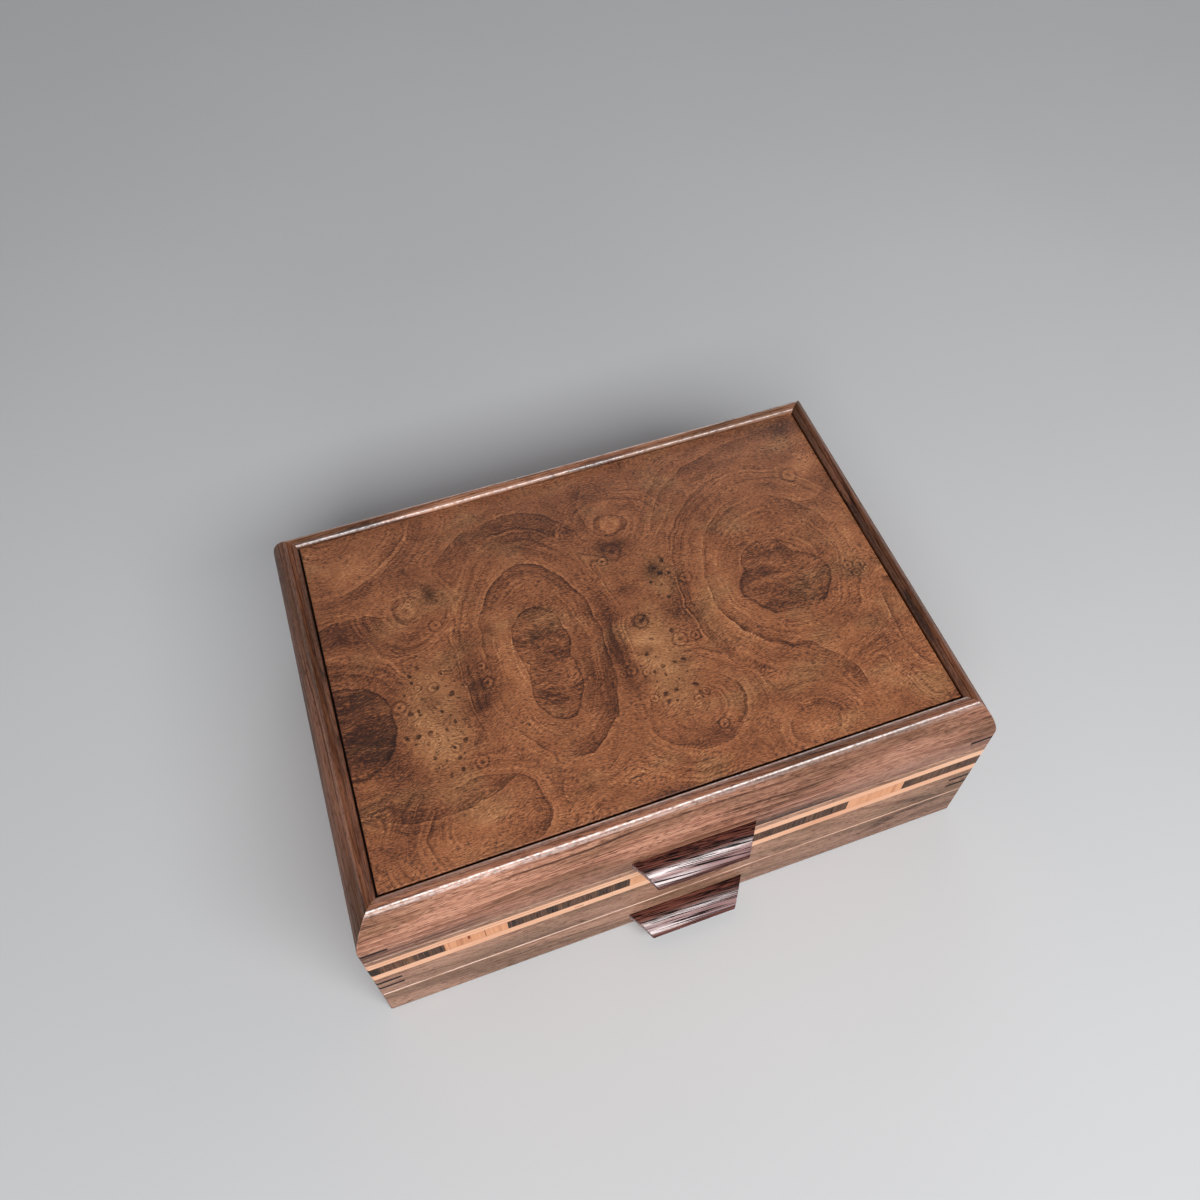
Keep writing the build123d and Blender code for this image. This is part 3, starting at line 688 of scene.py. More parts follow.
def napped_cloth(name, deep, pale, pile, fuzz):
    """Cloth with a nap: fine fibres that lie this way and that in hand-sized patches."""
    finish, tree, shader, metres = new_finish(name)
    place = in_mm(metres)
    stroked = noise(place, (26, 18, 22), 3.0)
    tuft = noise(place, (pile, pile, pile), 3.0, 0.7)
    tone = reckon("ADD", times(tuft, 0.7), times(stroked, 0.5))
    feed(shader, {
        "Base Color": shades(tone, [(0.35, deep), (0.85, pale)]),
        "Roughness": times_plus(tuft, 0.1, 0.85),
        "Sheen Weight": fuzz,
        "Sheen Roughness": 0.4,
        "Specular IOR Level": 0.2,
        "Normal": relief(tuft, 0.12),
    })
    return finish


def soften(piece, width, degrees):
    """Bevels a piece's edges that are sharper than an angle."""
    shape_with(piece, "BEVEL", width=width, segments=2, limit_method="ANGLE", angle_limit=math.radians(degrees))


def glued_cloth(name, node, finish, body, thickness):
    """A cut of cloth glued flat over a panel: a fine grid, thickened, its rim rolled over and a little uneven."""
    low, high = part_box(node)
    clear_selection()
    width, length = high.x - low.x, high.y - low.y
    middle = (low + high) / 2
    across, along = max(12, int(width / (4 * MM))), max(12, int(length / (4 * MM)))
    bpy.ops.mesh.primitive_grid_add(
        x_subdivisions=across, y_subdivisions=along, size=1, location=(middle.x, middle.y, high.z - 0.02 * MM))
    piece = bpy.context.object
    piece.name = name
    piece.scale = (width, length, 1)
    bpy.ops.object.transform_apply()
    for corner in piece.data.vertices:
        x, y = corner.co.x / MM, corner.co.y / MM
        corner.co.z -= (0.05 + 0.05 * math.sin(x / 9 + 2 * math.sin(y / 21)) * math.sin(y / 7 + x / 31)) * MM
    shape_with(piece, "SOLIDIFY", thickness=thickness, offset=-1)
    soften(piece, 0.25 * MM, 60)
    finish_piece(piece, body, finish, node)


keep_node("base_panel", plywood("birch_ply_base", (0, 20, 30)))
green_baize = napped_cloth("green_baize", tint(30, 40, 30), tint(58, 74, 56), 0.5, 0.25)
glued_cloth("baize_under_base", "base_baize", green_baize, "case", 0.75 * MM)


# Tray floor: a plywood panel in a groove, with suede glued on it. The suede is what the cufflinks lie on.
SUEDE_THICKNESS = 0.85 * MM
keep_node("tray_floor", plywood("birch_ply_tray", (40, -30, 60)))
dark_suede = napped_cloth("dark_suede", tint(40, 33, 30), tint(92, 78, 70), 0.35, 0.35)
glued_cloth("suede_in_tray", "tray_lining", dark_suede, "case", SUEDE_THICKNESS)


# Inlaid band: two light lines of maple round the case, and between them a course of wenge and maple blocks.
# Each piece is sawn from thin stock, glued into the channel and sanded flush with the wall.
MAPLE = (tint(252, 202, 168), tint(243, 183, 147), tint(206, 138, 104), tint(166, 104, 74))
BLOCK_MAPLE = (tint(242, 182, 140), tint(228, 160, 119), tint(184, 116, 80), tint(150, 92, 64))
MAPLE_GRAIN = {"Ring Pitch": 2.6, "Wander": 2.5, "Fibre Width": 0.4, "Pore Length": 2.0, "Pore Width": 0.2,
               "Pore Start": 0.68}
WENGE = (tint(120, 86, 66), tint(68, 48, 38), tint(26, 18, 15), tint(16, 11, 9))
WENGE_GRAIN = {"Ring Pitch": 1.5, "Wander": 1.2, "Fibre Width": 0.4, "Pore Length": 6.0, "Pore Width": 0.35,
               "Pore Start": 0.58}
GLUE_LINE = tint(176, 150, 136)
UPRIGHT = (0, 90, 0)


def eased_copy(node, body, finish, ease_by=0.0):
    """A copy of a CAD node with its triangles merged and its edges softened, shown in the node's place.
    Two blocks that touch become one, without the wall between them."""
    piece = bpy.data.objects.new(node + "_made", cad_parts[node].data.copy())
    bpy.context.collection.objects.link(piece)
    take_up(piece)
    bpy.ops.object.mode_set(mode="EDIT")
    merge_all(0.002)
    bpy.ops.mesh.select_all(action="DESELECT")
    bpy.ops.mesh.select_mode(type="FACE")
    bpy.ops.mesh.select_interior_faces()
    bpy.ops.mesh.delete(type="FACE")
    bpy.ops.mesh.select_all(action="SELECT")
    bpy.ops.mesh.dissolve_limited(angle_limit=math.radians(0.5))
    bpy.ops.object.mode_set(mode="OBJECT")
    if ease_by:
        soften(piece, ease_by, 40)
    finish_piece(piece, body, finish, node)


def stain(x, z, tone):
    """A place on the front with another tone, from its two limits in X and in Z, in millimetres."""
    return ((x[0] * MM, -DEPTH / 2 - MM, z[0] * MM), (x[1] * MM, -DEPTH / 2 + 2 * MM, z[1] * MM), tone)


LINE_STAINS = [
    stain((-140, 140), (52.9, 53.2), GLUE_LINE),
    stain((-140, 140), (61.4, 61.7), GLUE_LINE),
    stain((-140, -20), (64.2, 64.6), GLUE_LINE),
    stain((-51, -47), (49.2, 50), tint(150, 110, 90)),
]
BLOCK_STAINS = [stain((-95, -93.9), (57.5, 62), tint(160, 110, 90)), stain((-88.2, -87.7), (50, 65), GLUE_LINE)]
WENGE_STAINS = [
    stain((-136, -130.6), (40, 70), tint(150, 145, 140)),
    stain((-130.6, -121.4), (40, 70), tint(276, 264, 258)),
    stain((-121.4, -116.6), (40, 70), tint(290, 286, 264)),
]
# Each part's name and slot, its turn (None follows its side), heart, colours, grain, marks, gloss and depth, and
# its stains on the front
BAND_PARTS = [
    ("maple_lines_", "maple", None, (0, 70, 52), MAPLE, MAPLE_GRAIN, (0.7, 0.5, 0.4, 0.3), (0.4, 0.02), 0.008,
     LINE_STAINS),
    ("maple_blocks_", "maple", UPRIGHT, (0, 30, 20), BLOCK_MAPLE, MAPLE_GRAIN, (0.6, 0.5, 0.4, 0.3), (0.4, 0.02),
     0.008, BLOCK_STAINS),
    ("wenge_blocks_", "wenge", UPRIGHT, (0, 12, 45), WENGE, WENGE_GRAIN, (0.6, 0.7, 0.3, 0.5), (0.42, 0.02), 0.015,
     WENGE_STAINS),
]
for side, (part, slot, turn, heart, *looks, stains) in itertools.product(SIDES, BAND_PARTS):
    wood_turn = turn or (0, 0, -SIDES[side][0] + 1.0)
    on_front = stains if side == "front" else ()
    inlay = wood_finish(part + side, wood_turn, heart, *looks, stains=on_front, edge_weight=0)
    eased_copy(part + side, "case", inlay)


# Spline keys: thin three-cornered slips of near-black wood, let into saw cuts across the corners to lock
# the mitres, and cleaned off flush.
KEY_LEG = 11 * MM
KEY_THICKNESS = 2.0 * MM
KEY_PROUD = 0.02 * MM
KEY_WOOD = (tint(34, 20, 17), tint(22, 12, 10), tint(13, 7, 6), tint(9, 5, 5))
key_finish = wood_finish("key_wenge", (0, 0, 45), (0, 20, 10), KEY_WOOD, WENGE_GRAIN, (0.6, 0.4, 0.3, 0.5),
                         (0.45, 0.0), 0.01, edge_weight=0)


def spline_keys(name, levels, body, node):
    """All the keys of one part of the box, as one object: each is a block sawn off slanting and eased."""
    slips = []
    for level, end_x, end_y in itertools.product(levels, (-1, 1), (-1, 1)):
        corner = Vector((end_x * (WIDTH / 2 + KEY_PROUD), end_y * (DEPTH / 2 + KEY_PROUD), level))
        far = corner - Vector((end_x * KEY_LEG, end_y * KEY_LEG, 0))
        slip = block("slip", (corner.x, corner.y, level - KEY_THICKNESS / 2),
                     (far.x, far.y, level + KEY_THICKNESS / 2))
        bpy.ops.object.mode_set(mode="EDIT")
        saw((far.x, corner.y, level), (-end_x, -end_y, 0))
        middle = corner - Vector((end_x * CORNER_EASE, end_y * CORNER_EASE, 0))
        round_corner(middle, end_x, end_y, (15, 30, 45, 60, 75))
        leave_edit(slip)
        slips.append(slip)
    take_up(slips[0])
    for slip in slips:
        slip.select_set(True)
    bpy.ops.object.join()
    slips[0].name = name
    finish_piece(slips[0], body, key_finish, node)


spline_keys("case_keys", (34.5 * MM, 41.3 * MM), "case", "case_spline_keys")


# Tray fittings: walnut liners stand proud of the rim and guide the lid, and thin dividers, halved together
# where they cross, part the tray into cells for cufflinks.
INSIDE_WOOD = (tint(170, 130, 106), tint(138, 102, 82), tint(98, 70, 54), tint(66, 45, 34))
STRIP_EASE = 0.15 * MM


def inside_strip(node, body, turn, heart):
    """A strip of browner walnut inside the box, turned in plan to its own way."""
    eased_copy(node, body, walnut("walnut_" + node, (0, 0, turn), heart, INSIDE_WOOD), STRIP_EASE)


for number, (side, turn) in enumerate({"front": 1.0, "right": -88.0, "back": 2.0, "left": -91.5}.items()):
    inside_strip("liner_" + side, "case", turn, (10 * number, 40 + 9 * number, -25 + 30 * number))
for number in (1, 2, 3):
    inside_strip(f"long_divider_{number}", "case", 1.0, (0, 60 * number - 90, 20 + 7 * number))
for number in (1, 2, 3, 4, 5):
    inside_strip(f"cross_divider_{number}", "case", -89.0, (0, 80 - 37 * number, 15 + 6 * number))


# Hinges: two brass butt hinges with five knuckles each, their leaves sunk in the rims and held by slotted
# brass screws, turning on brass pins.
def brass_finish():
    """Polished brass, softly brushed and a little tarnished in the hollows."""
    finish, tree, shader, metres = new_finish("hinge_brass")
    place = in_mm(metres)
    brushed = noise(place, (12, 0.12, 0.12))
    tarnish = noise(place, (3.5, 3.5, 3.5), 4.0, 0.6)
    edge_mask = put("Group", {"Reach": 0.3 * MM}, tree, node_tree=edge_finder).outputs["Mask"]
    colour = shades(tarnish, [(0.35, tint(178, 144, 88)), (0.6, tint(214, 184, 124))])
    feed(shader, {
        "Base Color": lay_over(times(edge_mask, 0.6), colour, tint(236, 212, 160)),
        "Roughness": reckon("ADD", reckon("ADD", times(tarnish, 0.2), times(brushed, 0.15)), 0.1),
        "Metallic": 1.0,
        "Normal": relief(brushed, 0.004),
    })
    return finish


brass = brass_finish()
for node in ("hinge_case_leaves", "hinge_pins", "hinge_case_screws"):
    eased_copy(node, "case", brass)
for node in ("hinge_lid_leaves", "hinge_lid_screws"):
    eased_copy(node, "lid", brass)


# Drawer stop: a small walnut block screwed up under the tray floor, which the drawer's back meets.
stop_finish = walnut("walnut_stop", (0, 0, 2.0), (0, 10, 50), INSIDE_WOOD, gloss=(0.45, 0.04))
eased_copy("drawer_stop", "case", stop_finish, 2 * STRIP_EASE)
eased_copy("drawer_stop_screw", "case", brass)


# Lid frame: four walnut rails, mitred. In section each has an upright foot, a wide rounded shoulder, a
# narrow flat and, past a fine quirk, a bead beside the panel.
LID_BOTTOM = LID_SPLIT + LID_GAP / 2
SHOULDER_START = 79.4 * MM
SHOULDER_RADIUS = 32.5 * MM
BEAD_RADIUS = 1.9 * MM
QUIRK = 0.5 * MM
ARRIS_EASE = 1.1 * MM
ROSY_WALNUT = (tint(208, 154, 127), tint(160, 108, 86), tint(86, 50, 38), tint(50, 28, 21))
# Painted highlight: the back rail's walnut is made lighter to stand for the light on its bead
HIGHLIT_BACK_WALNUT = (tint(224, 168, 134), tint(180, 124, 96), tint(102, 62, 46), tint(60, 35, 25))
# Painted shade: the side rails' walnut is made darker than the front's
SHADED_SIDE_WALNUT = (tint(164, 112, 86), tint(121, 77, 57), tint(72, 43, 31), tint(42, 24, 18))
# Each rail's turn and heart, its colours, its roughness and coat, its ridges and its painted shade along X
RAIL_WOOD = {
    "front": ((0, 2.0, 4.0), (0, -114, 60), ROSY_WALNUT, (0.36, 0.07), 1.0,
              (-50 * MM, 90 * MM, tint(228, 228, 230))),
    "right": ((0, 1.5, -86.5), (0, -150, 60), SHADED_SIDE_WALNUT, (0.36, 0.015), 0.3, None),
    "back": ((0, 0, -2.5), (0, 110, 75), HIGHLIT_BACK_WALNUT, (0.36, 0.07), 1.0, None),
    "left": ((0, 2.0, -93.0), (0, 155, 70), SHADED_SIDE_WALNUT, (0.36, 0.015), 0.3, None),
}
SHADOW_GAP = (
    (-HALF_X - 0.1 * MM, -HALF_Y - 0.1 * MM, 94.9 * MM),
    (HALF_X + 0.1 * MM, HALF_Y + 0.1 * MM, 98.4 * MM),
    tint(50, 42, 38),
)


def lid_rail(side):
    """One rail of the lid's frame."""
    reach = SIDES[side][1]
    inner, outer = -reach, -(reach + WALL)
    sweep = math.asin((HEIGHT - SHOULDER_START) / SHOULDER_RADIUS)
    arris = (outer + SHOULDER_RADIUS * (1 - math.cos(sweep)), HEIGHT)
    bead_start = inner - BEAD_RADIUS
    outline = [
        (outer, SHOULDER_START),
        ((outer + SHOULDER_RADIUS, SHOULDER_START), -math.degrees(sweep), 20, arris),
        (bead_start - QUIRK, HEIGHT), (bead_start - QUIRK, HEIGHT - QUIRK), (bead_start, HEIGHT - QUIRK),
        (bead_start, HEIGHT),
        ((bead_start, HEIGHT - BEAD_RADIUS), -90, 10, (inner, HEIGHT - BEAD_RADIUS)),
        (inner, LID_BOTTOM), (outer, LID_BOTTOM), (outer, SHOULDER_START),
    ]
    eases = [(*arris, ARRIS_EASE, 6), (outer, LID_BOTTOM, EDGE_EASE, 3)]
    piece = mitred_board("lid_frame_" + side, side, outline, eases)
    if side != "front":
        bevel_back(piece, 1)
    if side == "back":
        sink_hinges(piece, 1)
    turn, heart, colours, gloss, ridges, shading = RAIL_WOOD[side]
    finish = walnut("walnut_rail_" + side, turn, heart, colours, (1.0, 0.8, 0.5, 0.6), gloss=gloss,
                    stains=[SHADOW_GAP], ridges=ridges, shading=shading)
    finish_piece(piece, "lid", finish, "lid_rail_" + side, smooth_below=20)


for side in SIDES:
    lid_rail(side)
spline_keys("lid_keys", (79.5 * MM,), "lid", "lid_spline_keys")


# Lid panel: a sheet of burl on a core, tongued into the rails, its field raised almost to the frame's top
# with a dark shadow gap all round. The burl's figure has growth lines that turn round dark ovals, smoky
# patches, eyes and beds of pin knots, all under fine short dashes of grain.
PANEL_TOP = 99.2 * MM
PANEL_SHADOW_GAP = 0.7 * MM
FIELD_SHIFT = (0.1 * MM, 0.35 * MM, 0)
TONGUE_BOTTOM = 91 * MM
TONGUE_TOP = 95 * MM
TONGUE_DEPTH = 4 * MM

# The figure lies over the panel's plan, in millimetres from the box's middle.
# An oval is its middle x and y, half width and half length. A growth line has the oval that it follows, the width
# of its soft shade, which lies inside the oval or, below nought, outside it, how dark it is, and the oval in
# which it shows.
GROWTH_LINES = [
    ((-32.5, -7, 26, 47.5), 9, 0.9, (-30, 20, 36, 40)),
    ((-32.5, -7, 25.5, 47), 8, 0.9, (-20, -30, 34, 36)),
    ((-33, -5, 22, 42), 5, 0.5, (-26, 26, 26, 24)),
    ((-33, -4, 19, 38), 6, 0.45, (-18, -14, 14, 40)),
    ((-34, 37.7, 35.5, 31), 14, 0.7, (-34, 58, 50, 34)),
    ((-36, 34, 44, 41), 6, 0.45, (-50, 62, 34, 34)),
    ((-111, 86, 40, 34), -11, 0.8, (-92, 62, 46, 32)),
    ((-111, 9.3, 31.7, 29.2), 9, 0.9, (-110, 36, 30, 18)),
    ((-117.7, -14.8, 24, 28), 5, 0.45, (-106, 4, 22, 22)),
    ((-86, -15.7, 18, 34), -6, 0.55, (-68, -22, 12, 34)),
    ((-86, -20.7, 50, 40), 8, 0.9, (-92, -58, 50, 20)),
    ((-86, -18, 52, 47), 4, 0.5, (-110, -60, 30, 20)),
    ((-74.3, -67.3, 24, 18), 7, 0.8, (-54, -66, 16, 20)),
    ((-97.7, -59, 25, 21.7), -6, 0.5, (-114, -74, 18, 16)),
    ((14, -17, 16.5, 38), -7, 0.6, (-5, -16, 10, 34)),
    ((20.7, -10.7, 16, 50), -5, 0.6, (40, -12, 12, 40)),
    ((19, 59, 15, 18), -6, 0.7, (4, 60, 10, 24)),
    ((17, 56, 11, 14), 4, 0.5, (28, 52, 9, 20)),
    ((18.2, -50.7, 20.8, 17.5), 6, 0.9, (24, -62, 28, 22)),
    ((79, 1, 34, 41.7), 8, 0.8, (62, 2, 38, 56)),
    ((76, 1, 44, 57), 6, 0.8, (48, 14, 46, 72)),
    ((85.7, 22.7, 58, 51.7), 6, 0.75, (62, 60, 62, 48)),
    ((86, 24, 63, 58), 5, 0.5, (50, 66, 46, 40)),
    ((84, 20, 52, 46), 4, 0.45, (60, 52, 46, 36)),
    ((107.3, 47.7, 16, 17.5), -6, 0.8, (108, 32, 20, 14)),
    ((60.7, -64, 29.7, 29), 8, 0.85, (78, -52, 30, 30)),
    ((124, -42, 12, 24), 5, 0.6, (112, -42, 14, 30)),
    ((61.5, -72.3, 11, 9), -6, 1.2, (68, -66, 14, 12)),
]
# Dark ovals with a crisp rim
DARK_OVALS = [
    (-32.5, 2, 11.8, 17), (-33, -20, 11.4, 17), (-117.7, -14.8, 18.5, 21), (79, -7, 21, 16.5), (75, 6, 12, 12),
]
# Ovals that the bands of growth run round
FLOW_OVALS = [
    (-32.5, -7, 26, 47.5), (79, 0, 34, 40), (-118, -15, 19, 21), (-112, 88, 40, 34), (-75, -68, 24, 18),
    (18, -50, 21, 17), (61, -72, 11, 9), (15, 48, 8, 6), (-84, 34, 7, 7), (124, -42, 12, 24),
]
# Soft patches: an oval, and how dark, or how light below nought
PATCHES = [
    (10.7, 35.5, 15, 9, 0.6), (14.8, 48, 9, 6, -0.45), (14.8, 60.7, 6, 6, -0.25), (-73, 38.5, 6, 8, 0.65),
    (-83.5, 34, 7, 8, -0.35), (-62.7, -19.8, 9, 7, 0.2), (-62.7, -10.7, 6, 5, 0.15), (-83.5, -12.3, 7, 7, 0.5),
    (-80, -20, 6, 7, 0.35), (-87, -20, 18, 36, -0.4), (-80, -38, 14, 14, -0.15), (10.7, -4.8, 9, 6, 0.6),
    (9, 12.7, 8, 6, 0.4), (9, -14, 9, 8, -0.3), (24, 19, 6, 7, 0.45), (26, -5, 9, 9, 0.45),
    (-4, -16, 6, 40, 0.1), (9, -19, 5, 5, 0.4), (20, -29, 6, 6, 0.35), (110.7, -12, 12, 9, 0.4),
    (114, 50, 12, 11, -0.5), (60.7, -74, 8, 7, -0.3), (22, -62, 12, 6, 0.35), (-6, -80, 17, 3.5, 0.7),
    (-22, 56, 40, 20, 0.3), (-112, 30, 16, 9, 0.35), (-46, -8, 10, 46, -0.3), (-17, -24, 9, 32, 0.25),
    (50, -2, 12, 40, -0.3), (100, -64, 24, 22, -0.15), (-86, -72, 36, 14, -0.15), (-3, -8, 10, 48, 0.35),
    (-64, -12, 12, 38, 0.35), (31, -2, 7, 28, 0.35), (112, 74, 20, 9, 0.5), (-112, -20, 46, 80, 0.34),
    (14, 68, 16, 10, 0.35), (-100, 64, 26, 16, -0.35), (113, 2, 12, 40, -0.25), (13, -22, 14, 32, -0.3),
]
# Eyes, each a light disc with a dark point and rim: middle x, y and half size
EYES = [
    (10.7, 33.5, 5), (4.8, 30, 2.6), (14.8, 48, 7), (-84, 34, 6), (-81.8, 38, 2), (-73.5, 22.7, 3.4),
    (-60, -2.7, 2.4), (-59.5, -11, 3.2), (-87.7, -4, 1.9), (-81.8, -5.7, 2.8), (-82.7, 0.2, 1.7),
    (-76.8, -0.7, 1.7), (-96.8, -10, 3.4), (-79.3, -34.8, 2.4), (-87.7, -40.7, 1.8), (-91.8, -27.3, 1.5),
    (-85, -29, 1.6), (-71, -44, 3.2), (-76, -27, 1.6), (10.7, -4.5, 4), (-1.8, -25.7, 3), (-5.4, -26.2, 1.8),
    (4, -28.2, 2), (23.2, -18.2, 4), (30.3, -18.2, 2.6), (3.2, -40.7, 2.4), (19.8, -46.8, 2.3),
    (24, -44.5, 2), (36.8, 9.8, 3.4), (25.7, -60.3, 2.6), (104, 47, 4.4), (104, 41.5, 1.8), (107.5, -8, 2.6),
    (112, -9, 3), (109, -13, 2.2), (114, -12.5, 2),
]
# Beds of pin knots, as ovals
PIN_KNOT_BEDS = [(-84, -20, 18, 36), (14, -24, 15, 36), (26, 14, 10, 16), (110, -10, 10, 8)]
# The burl's two runs of colour, from dark to light, at the same places
BURL_STOPS = (0.0, 0.25, 0.5, 0.72, 1.0)
BURL_BROWN = (tint(46, 22, 13), tint(92, 50, 30), tint(152, 92, 58), tint(184, 118, 77), tint(220, 158, 110))
BURL_GOLD = (tint(46, 26, 15), tint(94, 58, 34), tint(156, 102, 66), tint(188, 130, 86), tint(222, 168, 118))
OVAL_INPUTS = {"Place": None, "Stretch": None, "Shift": None, "Dark": 1.0, "Tone": 0.5}


def value_ramp(factor, stops):
    """A ramp of plain values from (place, value) stops, taken from the ramp's alpha."""
    return shades(factor, [(place, (value,) * 4) for place, value in stops], "Alpha")


def reach_of(place, stretch, shift):
    """The distance from an oval's middle, one on its rim."""
    return steer("LENGTH", steer("MULTIPLY_ADD", place, stretch, shift), output="Value")


def fitted(oval, prefix=""):
    """The inputs that fit an oval to the circle of radius one: its stretch and its shift."""
    x, y, half_width, half_length = oval
    return {prefix + "Stretch": (1 / half_width, 1 / half_length, 0),
            prefix + "Shift": (-x / half_width, -y / half_length, 0)}


def nudged(tone, pattern, weight):
    """A tone moved up and down by a pattern that swings about a half."""
    return times_plus(reckon("SUBTRACT", pattern, 0.5), weight, tone)


def make_growth_line():
    """One growth line laid into a tone: a light hair, a crisp dark edge, and a soft shade with fainter lines."""
    inputs = {"Place": None, "Stretch": None, "Shift": None, "Steepness": 1.0, "Plain Place": None,
              "Shown Stretch": None, "Shown Shift": None, "Dark": 1.0, "Tone": 0.5}
    tree, given, end = new_group("growth_line", inputs, ("Tone",))
    reach = reach_of(given["Place"], given["Stretch"], given["Shift"])
    profile = value_ramp(times_plus(reckon("SUBTRACT", 1.0, reach), given["Steepness"], 0.2), [
        (0.0, 0.5), (0.1, 0.55), (0.17, 0.6), (0.2, 0.24), (0.23, 0.36), (0.32, 0.4), (0.35, 0.3), (0.38, 0.41),
        (0.5, 0.42), (0.53, 0.33), (0.56, 0.44), (0.68, 0.45), (0.71, 0.38), (0.74, 0.47), (1.0, 0.5)])
    shown = reach_of(given["Plain Place"], given["Shown Stretch"], given["Shown Shift"])
    weight = times(step_up(shown, 1.0, 0.4), given["Dark"])
    feed(end, {"Tone": nudged(given["Tone"], profile, weight)})
    return tree


def make_patch():
    """One soft oval patch laid into a tone."""
    tree, given, end = new_group("soft_patch", OVAL_INPUTS, ("Tone",))
    mound = step_up(reach_of(given["Place"], given["Stretch"], given["Shift"]), 1.0, 0.0)
    feed(end, {"Tone": times_plus(mound, times(given["Dark"], -0.5), given["Tone"])})
    return tree


def make_eye():
    """One eye laid into a tone: a dark point, a light disc, a dark rim and a faint halo."""
    tree, given, end = new_group("burl_eye", OVAL_INPUTS, ("Tone",))
    ring = value_ramp(times(reach_of(given["Place"], given["Stretch"], given["Shift"]), 0.7), [
        (0.0, 0.1), (0.14, 0.25), (0.24, 0.64), (0.44, 0.66), (0.54, 0.22), (0.64, 0.32), (0.78, 0.56),
        (1.0, 0.5)])
    feed(end, {"Tone": nudged(given["Tone"], ring, given["Dark"])})
    return tree


def make_burl_figure():
    """The burl's figure over the panel's plan, in metres: its tone, half being plain, its fibres and its pores."""
    growth_line, patch, eye = make_growth_line(), make_patch(), make_eye()
    tree, given, end = new_group("burl_figure", {"Vector": None}, ("Tone", "Fibres", "Pores", "Golden"))
    flat = scaled(given["Vector"], (1000, 1000, 0))
    wide = swing(flat, (34, 34, 1), (7, 7, 0), 1.0)
    near = swing(flat, (10, 10, 1), (4.2, 4.2, 0), 1.0)
    fine = swing(flat, (2.6, 2.6, 1), (0.7, 0.7, 0), 1.0)
    bent = summed(summed(flat, wide), summed(near, fine))
    steady = summed(flat, scaled(near, (0.4, 0.4, 0)), fine)

    lined = 0.0
    for oval, width, dark, shown in GROWTH_LINES:
        inputs = {"Place": bent, **fitted(oval), "Steepness": 0.8 * (oval[2] + oval[3]) / 2 / width,
                  "Plain Place": flat, **fitted(shown, "Shown "), "Dark": dark, "Tone": lined}
        lined = put("Group", inputs, node_tree=growth_line).outputs[0]
    patchy = step_up(noise(flat, (12, 12, 1), 3.0), 0.32, 0.62, 0.5, 1.2)
    tone = times_plus(lined, times(patchy, 1.25), 0.5)
    for *oval, dark in PATCHES:
        inputs = {"Place": bent, **fitted(oval), "Dark": dark, "Tone": tone}
        tone = put("Group", inputs, node_tree=patch).outputs[0]
    for x, y, half in EYES:
        inputs = {"Place": steady, **fitted((x, y, half, half)), "Dark": 0.65 if half < 4.5 else 0.4, "Tone": tone}
        tone = put("Group", inputs, node_tree=eye).outputs[0]

    least = 9.0
    for oval in DARK_OVALS:
        least = reckon("MINIMUM", least, reach_of(bent, *fitted(oval).values()))
    inside = step_up(least, 1.0, 0.95)
    tone = times_plus(times(step_up(least, 0.9, 0.98), step_up(least, 1.0, 0.98)), -0.2, tone)
    bars = step_up(noise(bent, (40, 7, 1)), 0.35, 0.65, 0.0, 0.22)
    tone = reckon("SUBTRACT", tone, times(inside, bars))

    inputs = {"Vector": scaled(bent, (1 / 4.4, 1 / 4.4, 1)), "Scale": 1.0}
    cells = put("TexVoronoi", inputs, voronoi_dimensions="2D")
    size = times_plus(put("SeparateColor", {0: cells.outputs["Color"]}).outputs[0], 0.42, -0.1)
    pin = step_up(reckon("SUBTRACT", cells.outputs["Distance"], size), 0.02, -0.08)
    beds = 0.0
    for oval in PIN_KNOT_BEDS:
        beds = reckon("MAXIMUM", beds, step_up(reach_of(bent, *fitted(oval).values()), 1.0, 0.35))
    tone = times_plus(times(pin, step_up(beds, 0.15, 0.5)), -0.35, tone)
    tone = nudged(tone, noise(bent, (22, 12, 1), 3.0, 0.6), 0.55)
    tone = nudged(tone, noise(bent, (4.5, 2.6, 1), 3.0, 0.6), 0.22)

    drift = summed(flat, swing(flat, (26, 26, 1), (0, 16, 0)), swing(flat, (6, 6, 1), (0, 1.6, 0)))
    fibres = noise(drift, (4.6, 0.85, 1), 3.0, 0.7)
    tone = nudged(tone, fibres, times(times_plus(inside, 0.6, 0.5), times_plus(beds, -0.5, 1.0)))
    tone = nudged(tone, noise(drift, (1.5, 0.42, 1), 2.0, 0.6), 1.25)

    nearest = 60.0
    for oval in FLOW_OVALS:
        size = (oval[2] + oval[3]) / 2
        out = times_plus(reach_of(bent, *fitted(oval).values()), size, -size)
        nearest = reckon("SMOOTH_MIN", nearest, out, 9.0)
    inputs = {"W": reckon("DIVIDE", nearest, 1.9), "Scale": 1.0, "Detail": 3.0, "Roughness": 0.65}
    bands = put("TexNoise", inputs, noise_dimensions="1D").outputs["Fac"]
    fading = step_up(noise(flat, (19, 19, 1), 1.0), 0.36, 0.64, 0.15, 1.0)
    fading = times(fading, times_plus(inside, -1.1, 1.1))
    fading = times(fading, times_plus(beds, -0.7, 1.0))
    fading = times(fading, step_up(nearest, 28.0, 14.0))

    speck = step_up(noise(drift, (2.0, 0.52, 1), 1.0), 0.54, 0.64)
    strong = reckon("MAXIMUM", step_up(noise(flat, (20, 12, 1)), 0.42, 0.62, 0.35, 1.0), inside)
    feed(end, {
        "Tone": nudged(tone, bands, fading),
        "Fibres": fibres,
        "Pores": times(speck, strong),
        "Golden": reckon("MAXIMUM", beds, step_up(noise(bent, (30, 20, 1)), 0.5, 0.7)),
    })
    return tree


